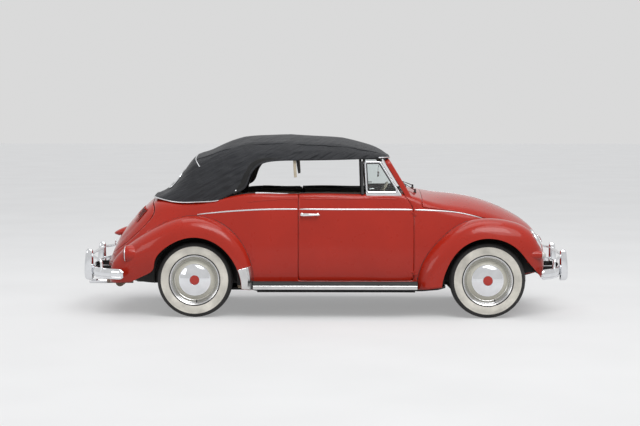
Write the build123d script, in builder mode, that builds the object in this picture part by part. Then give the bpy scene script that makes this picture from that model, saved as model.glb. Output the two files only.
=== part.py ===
"""A two-door, rear-engined convertible car with its fabric top raised, in millimetres.

Frame: +X forward, +Y to the car's left, +Z up, origin on the ground under the middle of the overall box.
The body is a hull lofted through cross sections, hollowed by a smaller loft and split at its shut lines.
"""

from build123d import *
from math import atan2, cos, hypot, pi, radians, sin
import os

os.makedirs("parts", exist_ok=True)

# ---------------------------------------------------------------- driving dimensions
# Overall places
FRONT_AXLE_X = 1330.0
WHEELBASE = 2400.0
REAR_AXLE_X = FRONT_AXLE_X - WHEELBASE
TRACK_FRONT = 1290.0
TRACK_REAR = 1250.0
FRONT_TIP_X = 2035.0
REAR_TIP_X = -2035.0

# Wheels
TYRE_RADIUS = 310.0
TYRE_WIDTH = 145.0
TYRE_CROWN = 112.0
SEAT_RADIUS = 190.0
FLANGE_RADIUS = 207.0
RIM_WIDTH = 124.0
RIM_WALL = 6.0
DROP_DEPTH = 14.0
DISC_OUT = 34.0
DISC_WALL = 8.0
DISC_EDGE_W = 8.0
DRUM_RADIUS = 122.0
DRUM_IN = -55.0
HUBCAP_RADIUS = 130.0
HUBCAP_RISE = 28.0
HUBCAP_LIP = 6.0
SPINDLE_RADIUS = 16.0
RUNNING_CLEARANCE = 0.05
SPINDLE_END = 18.0
AXLE_Z = TYRE_RADIUS

# Steering and front axle
KINGPIN_Y = 566.0
KINGPIN_RADIUS = 9.0
KNUCKLE_RADIUS = 18.0
KNUCKLE_HALF = 50.0
BEAM_X = 1455.0
BEAM_RADIUS = 28.0
BEAM_UPPER_Z = 385.0
BEAM_LOWER_Z = 235.0
BEAM_END_Y = 452.0
BEAM_PLATE_Y = 300.0
# length and thickness of the plates that join the two beams
BEAM_PLATE = (60.0, 14.0)
ARM_THICKNESS = 24.0
ARM_WIDTH = 30.0
ARM_OVERLAP = 6.0
ARM_PAST_PIN = 5.0
# length, width and height of a knuckle's steering arm, and how far its middle is in and down from the pin
STEERING_ARM = (120.0, 14.0, 20.0)
STEERING_ARM_IN = 6.0
STEERING_ARM_DOWN = 30.0
STEERING_WHEEL_RADIUS = 200.0
STEERING_WHEEL_GRIP = 12.0
STEERING_WHEEL_X = 440.0
STEERING_WHEEL_Y = 330.0
STEERING_WHEEL_Z = 897.0
COLUMN_TILT = 30.0
COLUMN_RADIUS = 20.0
COLUMN_GAP = 40.0
HORN_RADIUS = 34.0

# Body walls and gaps
SIDE_WALL = 56.0
SKIN = 22.0
PANEL_GAP = 6.0
WELL_RADIUS = 348.0
WELL_WALL = 14.0
AXLE_HOLE = 90.0
FRONT_WELL_Y = 395.0
REAR_WELL_Y = 520.0

# Doors
DOOR_FRONT_X = 727.0
DOOR_REAR_X = -219.0
DOOR_BOTTOM_Z = 306.0
DOOR_KINK_Z = 897.0
DOOR_TOP_FRONT_X = 640.0
BELT_Z = 1015.0
DOOR_REAR_TAPER = 12.0
HINGE_RADIUS = 9.0
HINGE_AXIS_Y = 674.0

VENT_FOOT_Y = 600.0
VENT_TOP_Y = 548.0
VENT_TOP_Z = 1284.0
VENT_BAR = 14.0
VENT_DEPTH = 14.0
HANDLE_X = -123.0
HANDLE_Y = 697.0
HANDLE_Z = 845.0
HANDLE_LENGTH = 158.0

# Hood and engine lid
HOOD_REAR_X = 800.0
LID_TOP_Z = 958.0
LID_BOTTOM_Z = 478.0

# Windscreen
SCREEN_BASE_X = 702.0
SCREEN_BASE_Z = 1005.0
SCREEN_TOP_X = 522.0
SCREEN_TOP_Z = 1304.0
SCREEN_BASE_HALF = 592.0
SCREEN_TOP_HALF = 545.0
SCREEN_BAR = 36.0
SCREEN_DEPTH = 34.0
SCREEN_SINK = 40.0
SCREEN_FOOT = 66.0
SCREEN_HEAD = 30.0
GLASS = 5.0

# Soft top
TOP_SKIN = 14.0
SEAT_CLEARANCE = 0.3
BOW_WIDTH = 32.0
BOW_DEPTH = 14.0
RAIL_Y = 528.0
RAIL_WIDTH = 34.0
TOP_PIVOT_X = -735.0
TOP_PIVOT_Z = 960.0
# columns: x of the bow, z of its feet
BOWS = ((140, 1306), (-300, 1296), (-700, 1062))
BOW_TOP_Z = 1600.0
HEADER_X = 478.0
REAR_WINDOW_HALF = 330.0
REAR_WINDOW_TOP = (-1209.0, 1198.0)
REAR_WINDOW_FOOT = (-1318.0, 1045.0)

# Bumpers
BUMPER_Z = 360.0
BLADE_HEIGHT = 86.0
BLADE_DEPTH = 16.0
OVERRIDER_Y = 340.0
OVERRIDER_HALF = 31.0
RAIL_RADIUS = 12.0
RAIL_Z = 490.0
GUARD_BOTTOM_Z = 275.0
GUARD_TOP_Z = 536.0
FRONT_GUARD_X = 1965.0
REAR_GUARD_X = -1959.0
BRACKET_X = 1880.0
BRACKET_Y = 215.0
BRACKET_WIDTH = 12.0
BRACKET_HEIGHT = 40.0

# Wings and lights
WING_WALL = 6.0
# where a wing's side bulges most, as shares of its height and width, and the rise of its roof
BELLY_UP = 0.68
BELLY_OUT = 0.76
ROOF_RISE = 5.0
HEADLIGHT_X = 1735.0
HEADLIGHT_Y = 555.0
HEADLIGHT_Z = 631.0
HEADLIGHT_TILT = 26.0
HEADLIGHT_RADIUS = 92.0
HEADLIGHT_RIM = 10.0
HEADLIGHT_DEPTH = 90.0
LENS_RISE = 30.0
TURN_BACK_X = 1640.0
TURN_NOSE_X = 1801.0
TURN_Y = 690.0
TURN_Z = 521.0
TURN_RADIUS = 38.0
TAIL_FRONT_X = -1560.0
TAIL_BACK_X = -1657.0
TAIL_Y = 625.0
TAIL_Z = 520.0
TAIL_HALF_WIDTH = 52.0
TAIL_HALF_HEIGHT = 72.0

# Floor, boards and bulkheads
FLOOR_Z = 205.0
FLOOR_WALL = 18.0
SILL_OUT_Y = 640.0
SILL_IN_Y = 560.0
SILL_TOP_Z = 260.0
SILL_FRONT_X = 740.0
SILL_REAR_X = -560.0
FLOOR_NOSE_X = 1010.0
FLOOR_NOSE_HALF = 330.0
FLOOR_TAIL_HALF = 470.0
FRAME_HEAD_REAR_X = 1000.0
TUNNEL_HALF = 75.0
TUNNEL_TOP_Z = 340.0
FRAME_HEAD_HALF = 95.0
FRAME_HEAD_TOP_Z = 400.0
BOARD_TOP_Z = 299.0
BOARD_BOTTOM_Z = 240.0
BOARD_WALL = 10.0
BOARD_OUT_Y = 762.0
BOARD_FRONT_X = 756.0
BOARD_REAR_X = -590.0
FIREWALL_X = 832.0
REAR_BULKHEAD_X = -880.0
BULKHEAD_WALL = 12.0
LUGGAGE_Z = 470.0
LUGGAGE_FRONT_X = 1700.0
# wider than the car's inside, so that a wall is trimmed by the body
ACROSS = 1300.0

# Cabin
DASH_REAR_X = 612.0
DASH_FRONT_X = 668.0
DASH_BOTTOM_Z = 838.0
DASH_HALF = 520.0
SEAT_WIDTH = 470.0
SEAT_Y = 310.0
CUSHION_BOTTOM_Z = 380.0
CUSHION_TOP_Z = 500.0
CUSHION_LENGTH = 500.0
FRONT_CUSHION_X = 30.0
REAR_CUSHION_X = -660.0
REAR_CUSHION_LENGTH = 360.0
REAR_CUSHION_HALF = 490.0
REAR_BACK_HALF = 470.0
FRONT_BACK_LENGTH = 650.0
REAR_BACK_LENGTH = 530.0
FRONT_LEAN = 14.0
REAR_LEAN = 10.0
BACK_THICKNESS = 110.0
BACK_FOOT_Z = 380.0
SEAT_CORNER = 20.0
FRAME_LENGTH = 440.0
FRAME_ACROSS = 410.0
FRAME_WALL = 25.0
FRAME_TRAY = 12.0
REAR_FRAME_LENGTH = 320.0
REAR_FRAME_HALF = 450.0
REAR_FRAME_WALL = 20.0

# Engine and transmission
AXLE_TUBE_RADIUS = 34.0
GEARBOX_RADIUS = 95.0
# length, width and height of the mount between the gearbox and the bulkhead
NOSE_MOUNT = (40.0, 160.0, 80.0)
DRUM_GAP = 10.0
ENGINE_FRONT_X = -1340.0
ENGINE_REAR_X = -1640.0
CASE_BOTTOM_Z = 235.0
CASE_TOP_Z = 505.0
CASE_HALF = 330.0
FAN_FRONT_X = -1405.0
FAN_REAR_X = -1555.0
FAN_TOP_Z = 740.0
FAN_HALF = 210.0
MUFFLER_X = -1742.0
MUFFLER_Z = 248.0
MUFFLER_RADIUS = 38.0
MUFFLER_HALF = 300.0
TAILPIPE_BORE = 14.0
TAILPIPE_BORE_LENGTH = 120.0
TAILPIPE_RADIUS = 17.0
TAILPIPE_Y = 230.0
TAILPIPE_END_X = -2010.0


def keep(shape, label):
    """Writes one node."""
    shape.label = label
    export_step(shape, f"parts/{label}.step")


def both_sides(right, label):
    """Writes a right-hand piece and its mirror image."""
    keep(right, f"{label}_right")
    keep(mirror(right, about=Plane.XZ), f"{label}_left")


def side_outline(points, y_from, y_to):
    """A solid whose outline is points in the XZ plane, between two values of y."""
    with BuildPart() as prism:
        with BuildSketch(Plane.XZ.offset(-y_from)):
            with BuildLine():
                Polyline(*points, close=True)
            make_face()
        extrude(amount=y_from - y_to)
    return prism.part


# ---------------------------------------------------------------- body hull
# columns: x, z_bottom, w_bottom, w_middle, z_middle, w_shoulder, z_shoulder, z_crown, r_shoulder
REAR_STATIONS = (
    (-1846, 325, 130, 180, 380, 140, 425, 445, 20),
    (-1800, 305, 240, 310, 400, 230, 515, 545, 50),
    (-1720, 290, 350, 420, 440, 300, 630, 678, 90),
    (-1600, 280, 455, 510, 490, 360, 765, 826, 110),
    (-1440, 272, 545, 578, 530, 425, 910, 968, 110),
    (-1240, 266, 600, 622, 560, 500, 935, 975, 80),
    (-980, 262, 630, 645, 580, 562, 948, 970, 50),
    (-700, 260, 640, 657, 600, 596, 1006, 1016, 40),
)
MIDDLE_STATIONS = (
    (-700, 260, 640, 657, 600, 596, 1006, 1016, 40),
    (-20, 260, 645, 666, 620, 612, 1016, 1026, 40),
    (660, 260, 640, 655, 620, 594, 1004, 1040, 40),
)
FRONT_STATIONS = (
    (660, 260, 640, 655, 620, 594, 1004, 1040, 40),
    (900, 262, 596, 622, 600, 566, 925, 1006, 70),
    (1130, 268, 535, 562, 590, 528, 868, 980, 90),
    (1340, 280, 465, 492, 570, 474, 812, 930, 100),
    (1520, 295, 395, 415, 540, 405, 735, 858, 100),
    (1670, 312, 315, 336, 500, 318, 640, 772, 95),
    (1780, 330, 230, 250, 460, 225, 545, 672, 80),
    (1850, 345, 135, 152, 425, 135, 462, 560, 50),
)


def hull_loft(stations, side_in=0.0, crown_in=0.0, open_bottom=0.0):
    """Lofts one run of sections, drawn in from the sides and the crown, and dropped at the bottom."""
    with BuildPart() as run:
        for station in stations:
            x, z_bottom, w_bottom, w_middle, z_middle, w_shoulder, z_shoulder, z_crown, r_shoulder = station
            bottom = (w_bottom - side_in, z_bottom - open_bottom)
            middle = (w_middle - side_in, z_middle)
            shoulder = (w_shoulder - side_in, z_shoulder - crown_in)
            with BuildSketch(Plane.YZ.offset(x)) as section:
                with BuildLine():
                    Line((-bottom[0], bottom[1]), bottom)
                    ThreePointArc(bottom, middle, shoulder)
                    ThreePointArc(shoulder, (0, z_crown - crown_in), (-shoulder[0], shoulder[1]))
                    ThreePointArc(
                        (-shoulder[0], shoulder[1]), (-middle[0], middle[1]), (-bottom[0], bottom[1])
                    )
                make_face()
                fillet([v for v in section.vertices() if v.Y > z_middle], r_shoulder)
        loft(ruled=True)
    return run.part


def wheel_wells(radius, inward):
    """The four spaces that the wheels turn and steer in."""
    with BuildPart() as wells:
        for x, well_y in ((FRONT_AXLE_X, FRONT_WELL_Y), (REAR_AXLE_X, REAR_WELL_Y)):
            for side in (-1, 1):
                start = Plane.XZ.offset(-side * (well_y - inward))
                with BuildSketch(start):
                    with Locations((x, AXLE_Z)):
                        Circle(radius)
                    with Locations((x, AXLE_Z - radius)):
                        Rectangle(2 * radius, 2 * radius)
                extrude(amount=-side * 400)
    return wells.part


def axle_holes():
    """Openings in the inner walls of the wheel wells for the axle tubes and the front beams."""
    with BuildPart() as holes:
        for side in (-1, 1):
            with Locations((REAR_AXLE_X, side * (REAR_WELL_Y - WELL_WALL), AXLE_Z)):
                Box(200, 80, 2 * AXLE_HOLE)
            with Locations((BEAM_X, side * (FRONT_WELL_Y - WELL_WALL), AXLE_Z)):
                Box(140, 80, 2 * (BEAM_UPPER_Z - AXLE_Z + 40))
    return holes.part


def hull(side_in=0.0, crown_in=0.0, open_bottom=0.0, well_wall=0.0):
    """The whole body hull without its wings, with the wheel wells taken out."""
    with BuildPart() as whole:
        for stations in (REAR_STATIONS, MIDDLE_STATIONS, FRONT_STATIONS):
            add(hull_loft(stations, side_in, crown_in, open_bottom))
        add(wheel_wells(WELL_RADIUS + well_wall, well_wall), mode=Mode.SUBTRACT)
        if side_in:
            split(bisect_by=Plane.YZ.offset(FRONT_STATIONS[-1][0] - SKIN), keep=Keep.BOTTOM)
            split(bisect_by=Plane.YZ.offset(REAR_STATIONS[0][0] + SKIN), keep=Keep.TOP)
    return whole.part


OUTER = hull()
INNER = hull(SIDE_WALL, SKIN, 60.0, WELL_WALL)
INNER_THIN = hull(SKIN, SKIN, 0.0, 0.0)

# Shut lines, as points in the XZ plane
HOOD_LINE = (
    (HOOD_REAR_X, 903), (1145, 852), (1310, 812), (1460, 770), (1600, 690), (1720, 595), (1800, 520),
    (1900, 440),
)


def hood_region(gap):
    """Everything above the hood's shut line, let down by a gap."""
    line = [(x, z - gap) for x, z in HOOD_LINE]
    line[0] = (HOOD_REAR_X - gap, line[0][1])
    corners = [(line[-1][0], 1200), (HOOD_REAR_X - gap, 1200)]
    return side_outline(line + corners, 700, -700)


def door_region(gap):
    """The right-hand door's outline, grown by a gap."""
    grown = [
        (DOOR_REAR_X - gap, DOOR_BOTTOM_Z - gap),
        (DOOR_REAR_X - gap, BELT_Z + 60),
        (DOOR_TOP_FRONT_X - 44 + gap, BELT_Z + 60),
        (DOOR_TOP_FRONT_X + gap, BELT_Z),
        (DOOR_FRONT_X + gap, DOOR_KINK_Z),
        (DOOR_FRONT_X + gap, DOOR_BOTTOM_Z - gap),
    ]
    return side_outline(grown, -500, -720)


def lid_region(gap):
    """The engine lid's outline seen from behind, grown by a gap."""
    with BuildPart() as prism:
        with BuildSketch(Plane.YZ.offset(-1950)):
            with BuildLine():
                ThreePointArc((-340, 880), (0, LID_TOP_Z - 8), (340, 880))
                ThreePointArc((340, 880), (418, 715), (322, 498))
                ThreePointArc((322, 498), (0, LID_BOTTOM_Z), (-322, 498))
                ThreePointArc((-322, 498), (-418, 715), (-340, 880))
            make_face()
            if gap:
                offset(amount=gap)
        extrude(amount=1950 - 1340)
    return prism.part


# ---------------------------------------------------------------- body shell
COCKPIT_REAR_X = -1290.0
COCKPIT_FRONT_X = 640.0
COCKPIT_HALF = 556.0


def cockpit():
    """The open top of the cabin and of the well that the top folds into."""
    with BuildPart() as opening:
        with BuildSketch(Plane.XY.offset(900)):
            with BuildLine():
                Polyline(
                    (COCKPIT_FRONT_X, -COCKPIT_HALF), (COCKPIT_FRONT_X, COCKPIT_HALF), (-760, COCKPIT_HALF),
                    (-1120, 490), (COCKPIT_REAR_X, 330), (COCKPIT_REAR_X, -330), (-1120, -490),
                    (-760, -COCKPIT_HALF), close=True,
                )
            make_face()
        extrude(amount=300)
    return opening.part


HINGE_X = DOOR_FRONT_X + PANEL_GAP / 2
HINGE_ZS = (365.0, 851.0)
HINGE_HALF = 16.0
HINGE_REACH = 84.0
HINGE_SLACK = 1.0
# how far from the hinge's axis its tab starts and ends
HINGE_TAB = (2.0, 26.0)


def hinge_knuckle(z_low, z_high, x_from, x_to):
    """A length of a right-hand door hinge with the tab that carries it."""
    with BuildPart() as knuckle:
        with Locations((HINGE_X, -HINGE_AXIS_Y, (z_low + z_high) / 2)):
            Cylinder(HINGE_RADIUS, z_high - z_low)
        with Locations(((x_from + x_to) / 2, -HINGE_AXIS_Y + HINGE_REACH / 2, (z_low + z_high) / 2)):
            Box(abs(x_to - x_from), HINGE_REACH, z_high - z_low)
    return knuckle.part


with BuildPart() as body_shell:
    add(OUTER)
    add(INNER, mode=Mode.SUBTRACT)
    add(cockpit(), mode=Mode.SUBTRACT)
    add(hood_region(PANEL_GAP), mode=Mode.SUBTRACT)
    add(lid_region(PANEL_GAP), mode=Mode.SUBTRACT)
    add(axle_holes(), mode=Mode.SUBTRACT)
    right_door_hole = door_region(PANEL_GAP)
    add(right_door_hole, mode=Mode.SUBTRACT)
    add(mirror(right_door_hole, about=Plane.XZ), mode=Mode.SUBTRACT)
    for hinge_z in HINGE_ZS:
        for side_z in (-1, 1):
            near = hinge_z + side_z * (HINGE_HALF + HINGE_SLACK)
            far = hinge_z + side_z * 3 * HINGE_HALF
            tab_x = (HINGE_X + HINGE_TAB[0], HINGE_X + HINGE_TAB[1])
            barrel = hinge_knuckle(min(near, far), max(near, far), *tab_x)
            add(barrel)
            add(mirror(barrel, about=Plane.XZ))
keep(body_shell.part, "body_shell")

with BuildPart() as hood:
    add(OUTER)
    add(INNER_THIN, mode=Mode.SUBTRACT)
    add(hood_region(0), mode=Mode.INTERSECT)
keep(hood.part, "hood")

with BuildPart() as engine_lid:
    add(OUTER)
    add(INNER_THIN, mode=Mode.SUBTRACT)
    add(lid_region(0), mode=Mode.INTERSECT)
keep(engine_lid.part, "engine_lid")

with BuildPart() as door:
    add(OUTER)
    add(INNER, mode=Mode.SUBTRACT)
    add(cockpit(), mode=Mode.SUBTRACT)
    add(door_region(0), mode=Mode.INTERSECT)
    with BuildSketch(Plane.XY.offset(200)):
        with BuildLine():
            Polyline(
                (DOOR_REAR_X - 1, -655), (DOOR_REAR_X, -655), (DOOR_REAR_X + DOOR_REAR_TAPER, -590),
                (DOOR_REAR_X + 2 * DOOR_REAR_TAPER, -520), (DOOR_REAR_X - 1, -520), close=True,
            )
        make_face()
    extrude(amount=900, mode=Mode.SUBTRACT)
    for hinge_z in HINGE_ZS:
        add(
            hinge_knuckle(
                hinge_z - HINGE_HALF, hinge_z + HINGE_HALF, HINGE_X - HINGE_TAB[0], HINGE_X - HINGE_TAB[1]
            )
        )
both_sides(door.part, "door")

VENT_LEAN = hypot(VENT_TOP_Y - VENT_FOOT_Y, VENT_TOP_Z - BELT_Z)
VENT_PLANE = Plane(
    origin=(0, -VENT_FOOT_Y, BELT_Z),
    x_dir=(1, 0, 0),
    z_dir=(0, BELT_Z - VENT_TOP_Z, VENT_FOOT_Y - VENT_TOP_Y),
)
# columns: x, share of the way up
VENT_CORNERS = ((319, 0.99), (454, 1.0), (640, -0.1), (334, -0.1))

with BuildPart() as vent_frame:
    with BuildSketch(VENT_PLANE):
        with BuildLine():
            Polyline(*[(x, share * VENT_LEAN) for x, share in VENT_CORNERS], close=True)
        make_face()
        offset(amount=-VENT_BAR, mode=Mode.SUBTRACT)
    extrude(amount=-VENT_DEPTH)
    add(door.part, mode=Mode.SUBTRACT)
both_sides(vent_frame.part.solids().sort_by(SortBy.VOLUME)[-1], "vent_frame")

with BuildPart() as vent_glass:
    with BuildSketch(VENT_PLANE.offset(-VENT_DEPTH / 2)):
        with BuildLine():
            Polyline(*[(x, share * VENT_LEAN) for x, share in VENT_CORNERS], close=True)
        make_face()
        offset(amount=-VENT_BAR, mode=Mode.REPLACE)
    extrude(amount=GLASS)
    add(door.part, mode=Mode.SUBTRACT)
both_sides(vent_glass.part.solids().sort_by(SortBy.VOLUME)[-1], "vent_glass")

with BuildPart() as door_handle:
    with Locations((HANDLE_X, -HANDLE_Y, HANDLE_Z)):
        Box(HANDLE_LENGTH, 12, 16)
        fillet(door_handle.edges().filter_by(Axis.X), 5)
    for post_x in (HANDLE_X - HANDLE_LENGTH / 2 + 14, HANDLE_X + HANDLE_LENGTH / 2 - 14):
        with Locations((post_x, -HANDLE_Y + 30, HANDLE_Z)):
            Box(16, 60, 14)
    add(door.part, mode=Mode.SUBTRACT)
both_sides(door_handle.part.solids().sort_by(SortBy.VOLUME)[-1], "door_handle")


# ---------------------------------------------------------------- lights
def light_plane(x, y, z, tilt=0.0):
    """A plane whose normal points forward, and up by a tilt in degrees, with local x to the car's left."""
    lift = radians(tilt)
    return Plane(origin=(x, y, z), x_dir=(0, 1, 0), z_dir=(cos(lift), 0, sin(lift)))


def headlight(side):
    """A round bucket sunk into the wing, with its rim."""
    with BuildPart() as bucket:
        with BuildSketch(light_plane(HEADLIGHT_X, side * HEADLIGHT_Y, HEADLIGHT_Z, HEADLIGHT_TILT)):
            Circle(HEADLIGHT_RADIUS)
        extrude(amount=-HEADLIGHT_DEPTH)
    return bucket.part


def domed(plane_at, sizes, across, high):
    """A solid lofted through ovals; sizes gives each oval's distance along the axis and its share of size."""
    with BuildPart() as dome:
        for distance, size in sizes:
            with BuildSketch(plane_at.offset(distance)):
                Ellipse(across * size, high * size)
        loft(ruled=True)
    return dome.part


def headlight_lens(side):
    """A domed lens in front of the bucket."""
    face_radius = HEADLIGHT_RADIUS - HEADLIGHT_RIM
    sizes = ((0.0, 1.0), (0.5 * LENS_RISE, 0.84), (0.85 * LENS_RISE, 0.5), (LENS_RISE, 0.16))
    face = light_plane(HEADLIGHT_X, side * HEADLIGHT_Y, HEADLIGHT_Z, HEADLIGHT_TILT)
    return domed(face, sizes, face_radius, face_radius)


def bullet(x_back, x_nose, y, z, radius, height_radius):
    """A lamp housing with an oval base that narrows to a blunt nose, lying along X."""
    length = x_nose - x_back
    sizes = [(share * length, size) for share, size in ((0.0, 1.0), (0.45, 0.97), (0.8, 0.74), (1.0, 0.3))]
    return domed(light_plane(x_back, y, z), sizes, radius, height_radius)


HEADLIGHTS = [headlight(side) for side in (-1, 1)]
TURN_SIGNALS = [
    bullet(TURN_BACK_X, TURN_NOSE_X, side * TURN_Y, TURN_Z, TURN_RADIUS, TURN_RADIUS) for side in (-1, 1)
]
TAIL_LIGHTS = [
    bullet(TAIL_FRONT_X, TAIL_BACK_X, side * TAIL_Y, TAIL_Z, TAIL_HALF_WIDTH, TAIL_HALF_HEIGHT)
    for side in (-1, 1)
]


# ---------------------------------------------------------------- wings
# columns: angle about the axle, r_lip, w_lip, r_crown, w_crown, r_in, w_in
REAR_WING = (
    (-10, 395, 735, 478, 660, 466, 560),
    (25, 362, 760, 482, 665, 470, 500),
    (60, 358, 768, 505, 660, 493, 480),
    (95, 358, 770, 521, 655, 509, 450),
    (130, 358, 765, 540, 630, 528, 400),
    (155, 358, 745, 630, 580, 590, 340),
    (172, 385, 700, 712, 560, 660, 340),
    (184, 560, 660, 712, 550, 660, 380),
)
FRONT_WING = (
    (3, 440, 660, 452, 520, 435, 215),
    (20, 375, 720, 500, 530, 460, 235),
    (45, 355, 755, 540, 550, 445, 280),
    (75, 353, 770, 510, 570, 430, 360),
    (105, 353, 770, 505, 585, 480, 450),
    (140, 350, 765, 508, 610, 500, 500),
    (165, 355, 755, 548, 635, 540, 500),
    (189, 385, 745, 575, 650, 565, 600),
)


def wing(sections, axle_x):
    """A right-hand wing lofted through sections that stand round the axle like spokes."""
    with BuildPart() as panel:
        for angle, r_lip, w_lip, r_crown, w_crown, r_in, w_in in sections:
            turn = radians(angle)
            spoke = Plane(
                origin=(axle_x, 0, AXLE_Z), x_dir=(cos(turn), 0, sin(turn)), z_dir=(sin(turn), 0, -cos(turn))
            )
            belly = (r_lip + BELLY_UP * (r_crown - r_lip), w_crown + BELLY_OUT * (w_lip - w_crown))
            roof = ((r_crown + r_in) / 2 + ROOF_RISE, (w_crown + w_in) / 2)
            with BuildSketch(spoke):
                with BuildLine():
                    ThreePointArc((r_lip, w_lip), belly, (r_crown, w_crown))
                    ThreePointArc((r_crown, w_crown), roof, (r_in, w_in))
                    Line((r_in, w_in), (r_in - WING_WALL, w_in))
                    ThreePointArc(
                        (r_in - WING_WALL, w_in),
                        (roof[0] - WING_WALL, roof[1]),
                        (r_crown - WING_WALL, w_crown),
                    )
                    ThreePointArc(
                        (r_crown - WING_WALL, w_crown),
                        (belly[0] - WING_WALL * cos(pi / 4), belly[1] - WING_WALL * sin(pi / 4)),
                        (r_lip, w_lip - WING_WALL),
                    )
                    Line((r_lip, w_lip - WING_WALL), (r_lip, w_lip))
                make_face()
        loft(ruled=True)
        add(OUTER, mode=Mode.SUBTRACT)
    return panel.part.solids().sort_by(SortBy.VOLUME)[-1]


def wing_pair(sections, axle_x, lamps, label):
    """Both wings of one axle, with seats for the lamps that they carry."""
    right = wing(sections, axle_x)
    with BuildPart() as pair:
        add(right)
        add(mirror(right, about=Plane.XZ))
        for lamp in lamps:
            add(lamp, mode=Mode.SUBTRACT)
    sides = pair.part.solids().sort_by(SortBy.VOLUME)[-2:]
    keep(Compound(children=list(sides)), label)


wing_pair(FRONT_WING, FRONT_AXLE_X, HEADLIGHTS + TURN_SIGNALS, "front_wings")
wing_pair(REAR_WING, REAR_AXLE_X, TAIL_LIGHTS, "rear_wings")
keep(Compound(children=HEADLIGHTS), "headlights")
keep(Compound(children=[headlight_lens(side) for side in (-1, 1)]), "headlight_lenses")
keep(Compound(children=TURN_SIGNALS), "turn_signals")
keep(Compound(children=TAIL_LIGHTS), "tail_lights")


# ---------------------------------------------------------------- floor, bulkheads and boards
with BuildPart() as floor_pan:
    with BuildSketch(Plane.XY.offset(FLOOR_Z)):
        with BuildLine():
            Polyline(
                (FLOOR_NOSE_X, -FLOOR_NOSE_HALF), (FLOOR_NOSE_X, FLOOR_NOSE_HALF), (940, FLOOR_TAIL_HALF),
                (800, SILL_IN_Y), (SILL_REAR_X, SILL_IN_Y), (SILL_REAR_X - 60, FLOOR_TAIL_HALF),
                (REAR_BULKHEAD_X - BULKHEAD_WALL, FLOOR_TAIL_HALF),
                (REAR_BULKHEAD_X - BULKHEAD_WALL, -FLOOR_TAIL_HALF), (SILL_REAR_X - 60, -FLOOR_TAIL_HALF),
                (SILL_REAR_X, -SILL_IN_Y), (800, -SILL_IN_Y), (940, -FLOOR_TAIL_HALF), close=True,
            )
        make_face()
    extrude(amount=FLOOR_WALL)
    for side in (-1, 1):
        with Locations(
            (
                (SILL_FRONT_X + SILL_REAR_X) / 2,
                side * (SILL_OUT_Y + SILL_IN_Y) / 2,
                (FLOOR_Z + SILL_TOP_Z) / 2,
            )
        ):
            Box(SILL_FRONT_X - SILL_REAR_X, SILL_OUT_Y - SILL_IN_Y, SILL_TOP_Z - FLOOR_Z)
    head_front_x = BEAM_X - BEAM_RADIUS - SEAT_CLEARANCE
    with Locations(((FRAME_HEAD_REAR_X + head_front_x) / 2, 0, (FLOOR_Z + FRAME_HEAD_TOP_Z) / 2)):
        Box(head_front_x - FRAME_HEAD_REAR_X, 2 * FRAME_HEAD_HALF, FRAME_HEAD_TOP_Z - FLOOR_Z)
    tunnel_length = FIREWALL_X - REAR_BULKHEAD_X
    with Locations(((FIREWALL_X + REAR_BULKHEAD_X) / 2, 0, (FLOOR_Z + TUNNEL_TOP_Z) / 2)):
        Box(tunnel_length, 2 * TUNNEL_HALF, TUNNEL_TOP_Z - FLOOR_Z)
keep(floor_pan.part, "floor_pan")


def bulkhead(x, z_low, z_high):
    """A wall across the car that fills the hull from side to side."""
    with BuildPart() as wall:
        with Locations((x, 0, (z_low + z_high) / 2)):
            Box(BULKHEAD_WALL, ACROSS, z_high - z_low)
        add(INNER, mode=Mode.INTERSECT)
    return wall.part


with BuildPart() as firewall:
    add(bulkhead(FIREWALL_X + BULKHEAD_WALL / 2, FLOOR_Z + FLOOR_WALL, 1100))
    with BuildPart(mode=Mode.PRIVATE) as tray:
        with Locations(((FIREWALL_X + LUGGAGE_FRONT_X) / 2, 0, LUGGAGE_Z)):
            Box(LUGGAGE_FRONT_X - FIREWALL_X, ACROSS, BULKHEAD_WALL)
        add(INNER, mode=Mode.INTERSECT)
    add(tray.part)
keep(firewall.part, "firewall_and_luggage_floor")
keep(bulkhead(REAR_BULKHEAD_X - BULKHEAD_WALL / 2, FLOOR_Z + FLOOR_WALL, 930), "rear_bulkhead")

with BuildPart() as board:
    board_middle = ((BOARD_FRONT_X + BOARD_REAR_X) / 2, -(BOARD_OUT_Y + SILL_OUT_Y) / 2)
    with Locations((*board_middle, (BOARD_TOP_Z + BOARD_BOTTOM_Z) / 2)):
        Box(BOARD_FRONT_X - BOARD_REAR_X, BOARD_OUT_Y - SILL_OUT_Y, BOARD_TOP_Z - BOARD_BOTTOM_Z)
    fillet(board.edges().filter_by(Axis.X).sort_by(Axis.Y)[0:2].sort_by(Axis.Z)[-1], 20)
    with Locations((*board_middle, (BOARD_TOP_Z - BOARD_WALL + BOARD_BOTTOM_Z) / 2)):
        Box(
            BOARD_FRONT_X - BOARD_REAR_X,
            BOARD_OUT_Y - SILL_OUT_Y - 2 * BOARD_WALL,
            BOARD_TOP_Z - BOARD_WALL - BOARD_BOTTOM_Z,
            mode=Mode.SUBTRACT,
        )
    add(OUTER, mode=Mode.SUBTRACT)
running_board = board.part.solids().sort_by(SortBy.VOLUME)[-1]
keep(Compound(children=[running_board, mirror(running_board, about=Plane.XZ)]), "running_boards")


# ---------------------------------------------------------------- bumpers
# columns: middle x, x and y of the bend, x and y half way round the corner, x and y of the tip
FRONT_BLADE = (2002, 1950, 430, 1890, 605, 1781, 722)
REAR_BLADE = (-1996, -1945, 430, -1850, 630, -1663, 735)


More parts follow.
